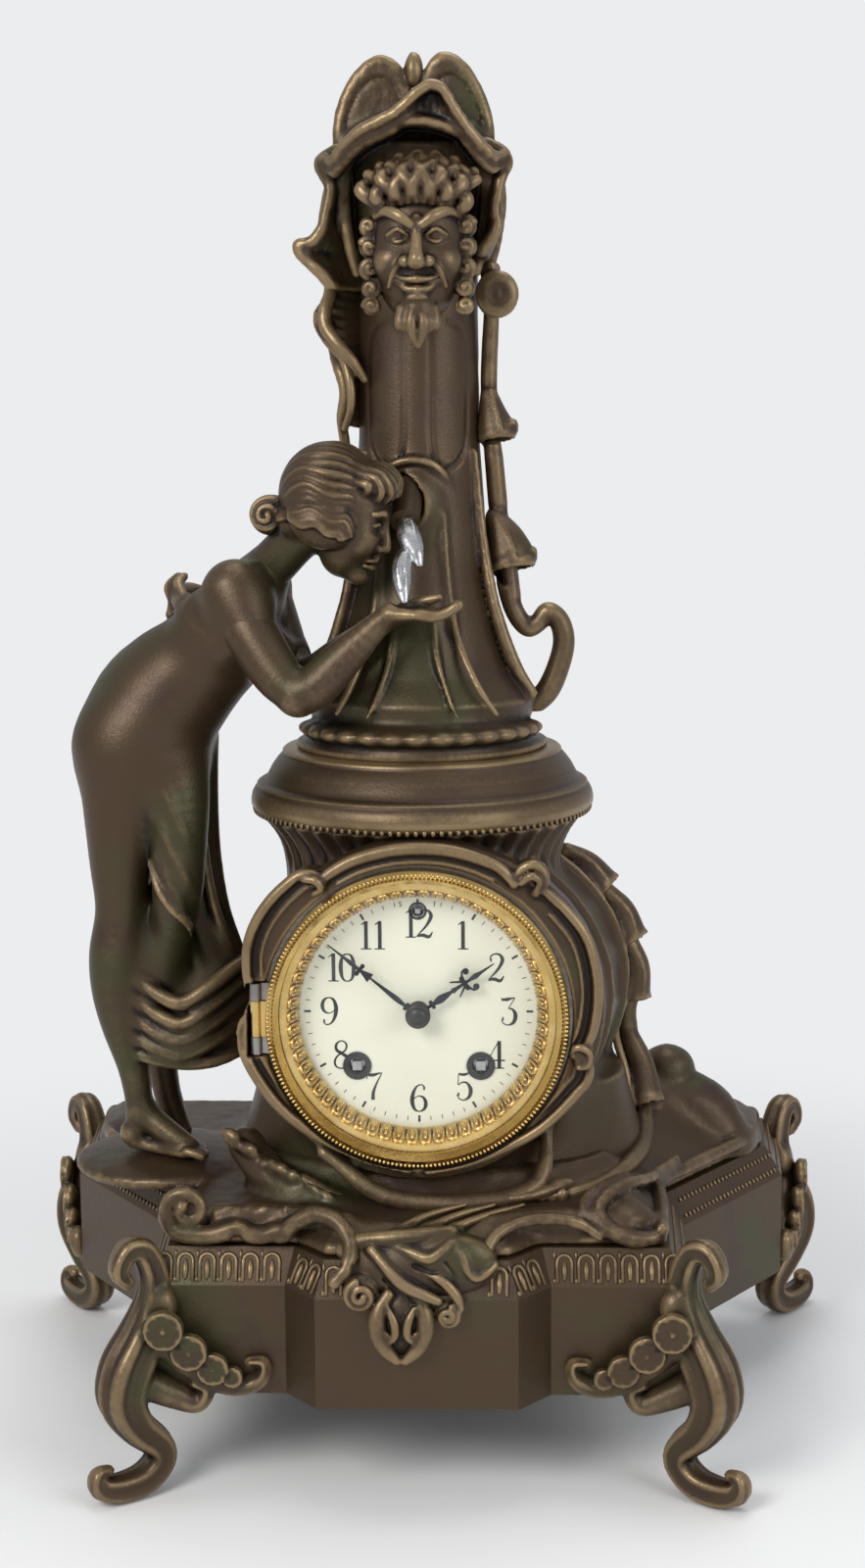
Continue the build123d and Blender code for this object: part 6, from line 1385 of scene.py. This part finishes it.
digits = {                                   # strokes of each figure as (across, up, width) in its own height
    "0": [roundZero],
    "1": [[(0, .5, .13), (0, 0, .13), (0, -.48, .13)], [(-.17, .38, .03), (-.07, .44, .05), (.02, .49, .06)],
          [(-.18, -.48, .04), (.18, -.48, .04)]],
    "2": [[(-.22, .3, .04), (-.17, .42, .05), (-.03, .49, .05), (.13, .45, .09), (.22, .3, .13), (.17, .12, .12),
           (.02, -.12, .08), (-.2, -.36, .04), (-.27, -.46, .04)],
          [(-.27, -.45, .06), (-.07, -.41, .12), (.14, -.47, .11), (.27, -.3, .03)],
          [(-.21, .27, .12), (-.15, .27, .12)]],
    "3": [[(-.22, .42, .07), (-.04, .43, .12), (.12, .47, .06), (.23, .49, .03)], [(.23, .48, .03), (.0, .1, .03)],
          [(0, .1, .03), (.14, .08, .07), (.25, -.12, .14), (.19, -.38, .12), (0, -.49, .05), (-.17, -.43, .04),
           (-.24, -.3, .03)],
          [(-.22, -.27, .12), (-.16, -.27, .12)], [(-.24, .5, .03), (-.21, .36, .03)]],
    "4": [[(.08, .5, .03), (-.3, -.2, .03)], [(-.31, -.2, .05), (.3, -.2, .05)], [(.1, .5, .13), (.1, -.48, .13)],
          [(-.07, -.48, .04), (.27, -.48, .04)]],
    "5": [[(-.17, .46, .07), (0, .43, .10), (.2, .49, .05)], [(-.18, .47, .03), (-.2, .05, .03)],
          [(-.2, .05, .03), (-.05, .15, .05), (.12, .12, .08), (.24, -.1, .14), (.2, -.35, .12), (.02, -.49, .05),
           (-.16, -.44, .04), (-.24, -.3, .03)],
          [(-.22, -.28, .12), (-.16, -.28, .12)]],
    "6": six,
    "7": [[(-.25, .43, .09), (-.06, .41, .12), (.15, .47, .06), (.27, .49, .03)],
          [(-.26, .5, .03), (-.26, .27, .03)],
          [(.26, .48, .03), (.08, .12, .06), (-.04, -.2, .11), (-.06, -.49, .13)]],
    "8": [[(0, .05, .11), (-.16, .16, .11), (-.19, .34, .09), (-.07, .48, .05), (.08, .48, .05), (.18, .35, .07),
           (.14, .17, .06), (0, .05, .07)],
          [(0, .05, .10), (.18, -.08, .13), (.24, -.28, .12), (.12, -.46, .06), (-.08, -.49, .05),
           (-.22, -.38, .07), (-.23, -.2, .07), (-.13, -.04, .06), (0, .05, .05)]],
    "9": [[(-x, -z, w) for x, z, w in row] for row in six],
    "S": [[(.2, .3, .1), (0, .46, .1), (-.2, .3, .12), (0, .03, .14), (.2, -.26, .12), (0, -.46, .1),
           (-.2, -.3, .1)]],
    "F": [[(-.15, .48, .12), (-.15, -.48, .12)], [(-.15, .44, .1), (.2, .44, .1)], [(-.15, 0, .1), (.12, 0, .1)]]}


class Print:                                 # flat strokes of one thickness gathered into one mesh
    def __init__(self, front, back):
        self.verts, self.faces = [], []
        self.front, self.back = front, back

    def ribbon(self, rows):                  # rows of (x, z, width); front face towards -Y
        rows = np.array(rows, float)
        run = np.gradient(rows[:, :2], axis=0)
        run /= np.linalg.norm(run, axis=1)[:, None]
        across = np.stack((-run[:, 1], run[:, 0]), 1) * rows[:, 2:3] * 0.5
        front, back = self.front, self.back
        first = len(self.verts)
        for (px, pz), (ax, az) in zip(rows[:, :2], across):
            self.verts += [(px + ax, front, pz + az), (px - ax, front, pz - az), (px - ax, back, pz - az),
                    (px + ax, back, pz + az)]
        for i in range(len(rows) - 1):
            a = first + 4 * i
            self.faces += [(a + k, a + (k + 1) % 4, a + 4 + (k + 1) % 4, a + 4 + k) for k in range(4)]
        last = first + 4 * (len(rows) - 1)
        self.faces += [(first + 3, first + 2, first + 1, first), (last, last + 1, last + 2, last + 3)]

    def button(self, px, pz, r, sides=12):
        ring = [(px + r * cos(2 * pi * k / sides), pz + r * sin(2 * pi * k / sides)) for k in range(sides)]
        first = len(self.verts)
        self.verts += [(x, self.front, z) for x, z in ring] + [(x, self.back, z) for x, z in ring]
        self.faces += [tuple(range(first, first + sides)),
                tuple(range(first + 2 * sides - 1, first + sides - 1, -1))]
        self.faces += [(first + k, first + sides + k, first + sides + (k + 1) % sides,
                        first + (k + 1) % sides) for k in range(sides)]

    def mesh(self, name, clockwise=0.0, lift=0.0):
        a = radians(clockwise)
        x, y, z = np.array(self.verts).T
        turned = np.stack((x * cos(a) + z * sin(a), y, lift - x * sin(a) + z * cos(a)), 1)
        made = faceOut(makeMesh(name, turned, self.faces))
        made.shade_flat()
        return made

    def figure(self, sign, px, pz, tall):
        for row in digits[sign]:
            rows = curvePoints(row, 5) if len(row) > 2 else row
            self.ribbon([(px + x * tall, pz + z * tall, w * tall) for x, z, w in rows])


def dialPrint():
    marks = Print(dial["face"] - dial["lift"], dial["face"] + dial["lift"])
    for minute in range(60):
        if minute in (59, 1):
            continue                         # room for the two regulator letters
        a = radians(90 - 6 * minute)
        mark = "tick" if minute % 5 else "dash"
        marks.ribbon([(dial[mark + end] * cos(a), dial["z"] + dial[mark + end] * sin(a), dial[mark + "Wide"])
                      for end in ("In", "Out")])
    for hour in range(1, 13):
        a = radians(90 - 30 * hour)
        px, pz = dial["numeralRadius"] * cos(a), dial["z"] + dial["numeralRadius"] * sin(a)
        tall = dial["numeralHeight"]
        text = str(hour)
        for i, sign in enumerate(text):
            shift = (i - 0.5 * (len(text) - 1)) * tall * dial["spacing"]
            marks.figure(sign, px + shift, pz, tall)
    for sign, side in (("S", -1), ("F", 1)):
        a = radians(90 - side * dial["letterAngle"])
        r = dial["letterRadius"]
        marks.figure(sign, r * cos(a), dial["z"] + r * sin(a), dial["letterHeight"])
    (rx, rz), (r, wide) = dial["regulator"], dial["regulatorRing"]
    marks.ribbon([(rx + r * cos(a), rz + r * sin(a), wide) for a in np.linspace(0, 2 * pi, 33)])
    return marks.mesh("dial_print")


# hands, drawn upright and then turned to the time; rows of (across, along, width)
minuteHand = {"angle": 309.0, "front": -69.4, "back": -68.6, "hub": 4.6,
              "blade": [(0, 3, 1.1), (0, 5.2, 1.1), (0, 5.4, 3.4), (0, 6.8, 3.4), (0, 7.0, 1.2), (0, 9, 1.9),
                        (0, 11.6, 2.3), (0, 15, 1.9), (0, 20, 1.2), (0, 25.2, 0.7), (0, 25.4, 4.2), (0, 27.5, 2.8),
                        (0, 30, 1.3), (0, 32.4, 1.3), (0, 35.3, 1.9), (0, 39, 1.1), (0, 48, 0.3)],
              "bars": [[(-2.0, 31, 1.5), (2.0, 31, 1.5)]], "knobs": [(-2.0, 31, 0.95), (2.0, 31, 0.95)]}
hourHand = {"angle": 55.75, "front": -67.0, "back": -66.2, "hub": 5.0,
            "blade": [(0, 3, 1.3), (0, 6.4, 1.3), (0, 6.5, 3.8), (0, 7.9, 3.8), (0, 8.0, 1.5), (0, 9.6, 2.7),
                      (0, 11.4, 3.5), (0, 14, 2.6), (0, 17.2, 1.1), (0, 17.4, 2.4), (0, 19.8, 1.5), (0, 23, 1.2),
                      (0, 26, 1.2), (0, 29, 2.3), (0, 32, 1.2), (0, 38.4, 0.35)],
            "bars": [[(-2.4, 23.5, 1.9), (2.4, 23.5, 1.9)]] + [
                [(side * 1.6, 24.0, 1.0), (side * 3.0, 24.3, 0.9), (side * 4.6, 25.2, 0.8),
                 (side * 4.9, 26.6, 0.8)] for side in (-1, 1)] + [
                [(side * 1.2, 22.8, 1.0), (side * 2.2, 21.2, 0.8), (side * 3.8, 18.6, 0.5)] for side in (-1, 1)],
            "knobs": [(-3.9, 26.8, 1.35), (3.9, 26.8, 1.35), (-2.4, 23.5, 0.95), (2.4, 23.5, 0.95)]}


def handMesh(name, look):
    drawn = Print(look["front"], look["back"])
    drawn.ribbon(look["blade"])
    for bar in look["bars"]:
        drawn.ribbon(bar)
    for knob in look["knobs"]:
        drawn.button(*knob)
    drawn.button(0, 0, look["hub"], 32)
    return drawn.mesh(name, look["angle"], dial["z"])


def colletMesh():                            # stepped black boss that holds the hands
    profile = [(0.05, 69.4), (5.1, 69.4), (5.3, 69.9), (5.2, 70.8), (4.5, 71.2), (4.2, 71.4), (4.0, 72.2),
            (3.3, 73.0), (2.2, 73.5), (1.2, 73.7), (0.05, 73.75)]
    verts, quads = closedLathe(profile, 36, lambda r, h, a: (r * cos(a), -h, dial["z"] + r * sin(a)))
    return faceOut(makeMesh("hand_collet_turned", verts, quads))


place("dial_print", dialPrint(), ink, "case", (), "black")
place("minute_hand_cut", handMesh("minute_hand_cut", minuteHand), bluedSteel, "centre", ["minute_hand"],
      "blued_steel")
place("hour_hand_cut", handMesh("hour_hand_cut", hourHand), bluedSteel, "hour", ["hour_hand"], "blued_steel")
place("hand_collet_turned", colletMesh(), blackPaint, "centre", ["hand_collet"], "black")
print("dial printed, hands set")


# rows of cast ornament; rings are count, radius, y and slope
ornament = {"gadroons": (58, 51.9, -69.6, (0.906, 0.424)), "beading": (216, 61.6, -79.9, (0.0, 1.0)),
            "mouldingZ": 91.4, "mouldingSink": 0.2, "eggPitch": 8.3, "sidePitch": 3.2,
            "capBeads": 132, "capRadius": 73.6, "capZ": 276.6}


def rowTree():                               # a motif on every point, turned by the point's own angles
    tree = bpy.data.node_groups.new("row of motifs", "GeometryNodeTree")
    for label, kind in (("Geometry", "Geometry"), ("Motif", "Object"), ("Finish", "Material")):
        tree.interface.new_socket(label, in_out="INPUT", socket_type="NodeSocket" + kind)
    tree.interface.new_socket("Geometry", in_out="OUTPUT", socket_type="NodeSocketGeometry")
    into, out = addNode(tree, "NodeGroupInput"), addNode(tree, "NodeGroupOutput")
    angles = addNode(tree, "GeometryNodeInputNamedAttribute", {"data_type": "FLOAT_VECTOR"}, {"Name": "turn"})
    rotate = addNode(tree, "FunctionNodeEulerToRotation")
    motif = addNode(tree, "GeometryNodeObjectInfo", {"transform_space": "ORIGINAL"})
    row = addNode(tree, "GeometryNodeInstanceOnPoints")
    real = addNode(tree, "GeometryNodeRealizeInstances")
    finish = addNode(tree, "GeometryNodeSetMaterial")
    link = tree.links.new
    link(angles.outputs["Attribute"], rotate.inputs[0])
    link(into.outputs["Motif"], motif.inputs["Object"])
    link(into.outputs["Geometry"], row.inputs["Points"])
    link(motif.outputs["Geometry"], row.inputs["Instance"])
    link(rotate.outputs[0], row.inputs["Rotation"])
    link(row.outputs["Instances"], real.inputs["Geometry"])
    link(real.outputs["Geometry"], finish.inputs["Geometry"])
    link(into.outputs["Finish"], finish.inputs["Material"])
    link(finish.outputs["Geometry"], out.inputs["Geometry"])
    return tree


def motifRow(name, motif, spots, material, body, slot):  # spots: (place, along, out) in mm
    points = bpy.data.meshes.new(name + " points")
    points.from_pydata([tuple(np.array(spot[0]) * mm) for spot in spots], [], [])
    turns = []
    for _, along, out in spots:
        along, out = unit(along), unit(out)
        turns.append(Matrix(np.stack((along, -out, np.cross(along, -out)), 1).tolist()).to_euler("XYZ"))
    turn = points.attributes.new("turn", "FLOAT_VECTOR", "POINT")
    turn.data.foreach_set("vector", np.array(turns, np.float32).ravel())
    holder = addObject(name + " points", points)
    stamp = bpy.data.objects.new(name + " motif", motif)
    ids = {item.name: item.identifier for item in rowOfMotifs.interface.items_tree if item.in_out == "INPUT"}
    row = holder.modifiers.new("row", "NODES")
    row.node_group = rowOfMotifs
    row[ids["Motif"]], row[ids["Finish"]] = stamp, material
    bpy.context.view_layer.update()
    graph = bpy.context.evaluated_depsgraph_get()
    mesh = bpy.data.meshes.new_from_object(holder.evaluated_get(graph), depsgraph=graph)
    bpy.data.objects.remove(holder)
    bpy.data.objects.remove(stamp)
    mesh.name = name
    print(name, len(mesh.polygons), "faces")
    return place(name, mesh, material, body, (), slot)


def motifMesh(name, tubes, eggs):            # small stamp; tubes: (points, radius), eggs: (place, radii)
    verts, faces, sides = [], [], 5
    for path, r in tubes:
        path = np.array(path, float)
        run = np.gradient(path, axis=0)
        first = len(verts)
        for spot, way in zip(path, run):
            way = unit(way)
            across = np.cross(way, (0, 1, 0))
            for k in range(sides):
                a = 2 * pi * k / sides
                verts.append(spot + r * (cos(a) * across + sin(a) * np.cross(way, across)))
        for i in range(len(path) - 1):
            a = first + sides * i
            faces += [(a + k, a + (k + 1) % sides, a + sides + (k + 1) % sides, a + sides + k)
                      for k in range(sides)]
        faces += [tuple(range(first + sides - 1, first - 1, -1)), tuple(range(len(verts) - sides, len(verts)))]
    for spot, radii in eggs:
        first = len(verts)
        for lat in (-50, 0, 50):
            for k in range(6):
                a, b = radians(60 * k), radians(lat)
                verts.append(np.array(spot) + np.array(radii) * (cos(b) * cos(a), cos(b) * sin(a), sin(b)))
        for i in range(2):
            a = first + 6 * i
            faces += [(a + k, a + (k + 1) % 6, a + 6 + (k + 1) % 6, a + 6 + k) for k in range(6)]
        low, high = len(verts), len(verts) + 1
        verts += [np.array(spot) - (0, 0, radii[2]), np.array(spot) + (0, 0, radii[2])]
        faces += [(low, first + (k + 1) % 6, first + k) for k in range(6)]
        faces += [(high, first + 12 + k, first + 12 + (k + 1) % 6) for k in range(6)]
    mesh = faceOut(makeMesh(name, np.array(verts), faces))
    pointValues(mesh, "relief", np.where(np.array(verts)[:, 1] < 0, 0.7, -0.5))     # worn rub and painted highlight on the front, painted shade on the back
    return mesh


def arch(half, low, spring):                 # an upturned U in the XZ plane
    points = 7
    line = [(-half, 0, low), (-half, 0, spring)]
    for k in range(1, points - 1):
        a = pi * (1 - k / (points - 1))
        line.append((half * cos(a), 0, spring + half * sin(a)))
    return line + [(half, 0, spring), (half, 0, low)]


def ringSpots(count, radius, y, slopeOut):   # stations round the dial axis, motif's up pointing outwards
    spots = []
    for i in range(count):
        a = 2 * pi * i / count
        c, q = cos(a), sin(a)
        along = (q, 0, -c)
        out = (-slopeOut[0] * c, -slopeOut[1], -slopeOut[0] * q)
        spots.append(((radius * c, y, dial["z"] + radius * q), along, out))
    return spots


def edgeSpots(start, end, pitch):            # stations along one edge of the plinth moulding
    start, end = np.array((*start, 0.0)), np.array((*end, 0.0))
    way = unit(end - start)
    out = np.cross(way, (0, 0, 1))
    count = max(int(np.linalg.norm(end - start) / pitch), 1)
    face = unit(out * 14 + np.array((0, 0, 8.0)))
    shares = [(i + 0.5) / count for i in range(count)]
    lift, sink = (0, 0, ornament["mouldingZ"]), out * ornament["mouldingSink"]
    return [(start + (end - start) * share + lift - sink, way, face) for share in shares]


rowOfMotifs = rowTree()
gadroon = motifMesh("gadroon", [(arch(1.95, -4.4, 2.2), 0.8)], [((0, -0.3, -0.8), (1.05, 1.2, 3.2))])
motifRow("sight_ring_gadroons", gadroon, ringSpots(*ornament["gadroons"]), gilt, "bezel", "gilt")
bead = motifMesh("bead", [], [((0, 0, 0), (0.78, 0.8, 0.95))])
motifRow("bezel_beading", bead, ringSpots(*ornament["beading"]), brass, "bezel", "brass")
eggAndDart = motifMesh("egg and dart", [(arch(3.1, 1.2, 9.6), 0.95)],
                       [((0, -0.3, 6.2), (1.4, 1.3, 4.6)), ((-4.2, -0.2, 2.0), (1.0, 1.0, 1.2)),
                        ((-4.2, 0, 12.6), (0.8, 0.8, 1.8))])
mouldingEdges = [((-110, -95), (-56, -95)), ((-54, -96), (-42.5, -109)), ((-40.5, -110), (-27, -110)),
        ((27, -110), (40.5, -110)), ((42.5, -109), (54, -96)), ((56, -95), (110, -95))]
mouldingSpots = [spot for start, end in mouldingEdges for spot in edgeSpots(start, end, ornament["eggPitch"])]
motifRow("plinth_egg_and_dart", eggAndDart, mouldingSpots, bronze, "case", "bronzed_spelter")
sideBeads = motifMesh("side beads", [], [((0, 0, 3.2), (1.1, 0.9, 1.2)), ((0.8, 0, 10.4), (1.1, 0.9, 1.2))])
sideEdges = [((112.2, -92), (114.8, -24)), ((116.5, -20), (164.5, 44)), ((166.2, 49), (169.8, 97))]
sideEdges += [((-b[0], b[1]), (-a[0], a[1])) for a, b in sideEdges]
sideSpots = [spot for start, end in sideEdges for spot in edgeSpots(start, end, ornament["sidePitch"])]
motifRow("plinth_side_beads", sideBeads, sideSpots, bronze, "case", "bronzed_spelter")
capBead = motifMesh("cap bead", [], [((0, 0, 0), (1.3, 1.0, 1.5))])
capSpots = []
for angle in np.linspace(0, 2 * pi, ornament["capBeads"], endpoint=False):
    c, q = cos(angle), sin(angle)
    capSpots.append(((ornament["capRadius"] * c, ornament["capRadius"] * q, ornament["capZ"]), (-q, c, 0),
                     (c, q, 0)))
motifRow("cap_edge_beads", capBead, capSpots, bronze, "case", "bronzed_spelter")
print("ornament rows done")


# finishes on the carried-over parts
slotFinish = {"bronzed_spelter": bronzePlain, "steel": steel, "blued_steel": bluedSteel, "silvered": silvered,
              "glass": glass, "enamel": enamel, "gilt": gilt, "black": blackPaint, "tin": tin, "iron": iron,
              "brass": plateBrass}
ownFinish = {"bezel_ring": brass, "hinge_pin": brass}
for part in frame["record"]["subparts"]:
    node = frame["nodes"][part["node"]]
    node.data.materials.clear()
    node.data.materials.append(ownFinish.get(part["node"], slotFinish[part["material_slot"]]))
print("carried-over parts finished")
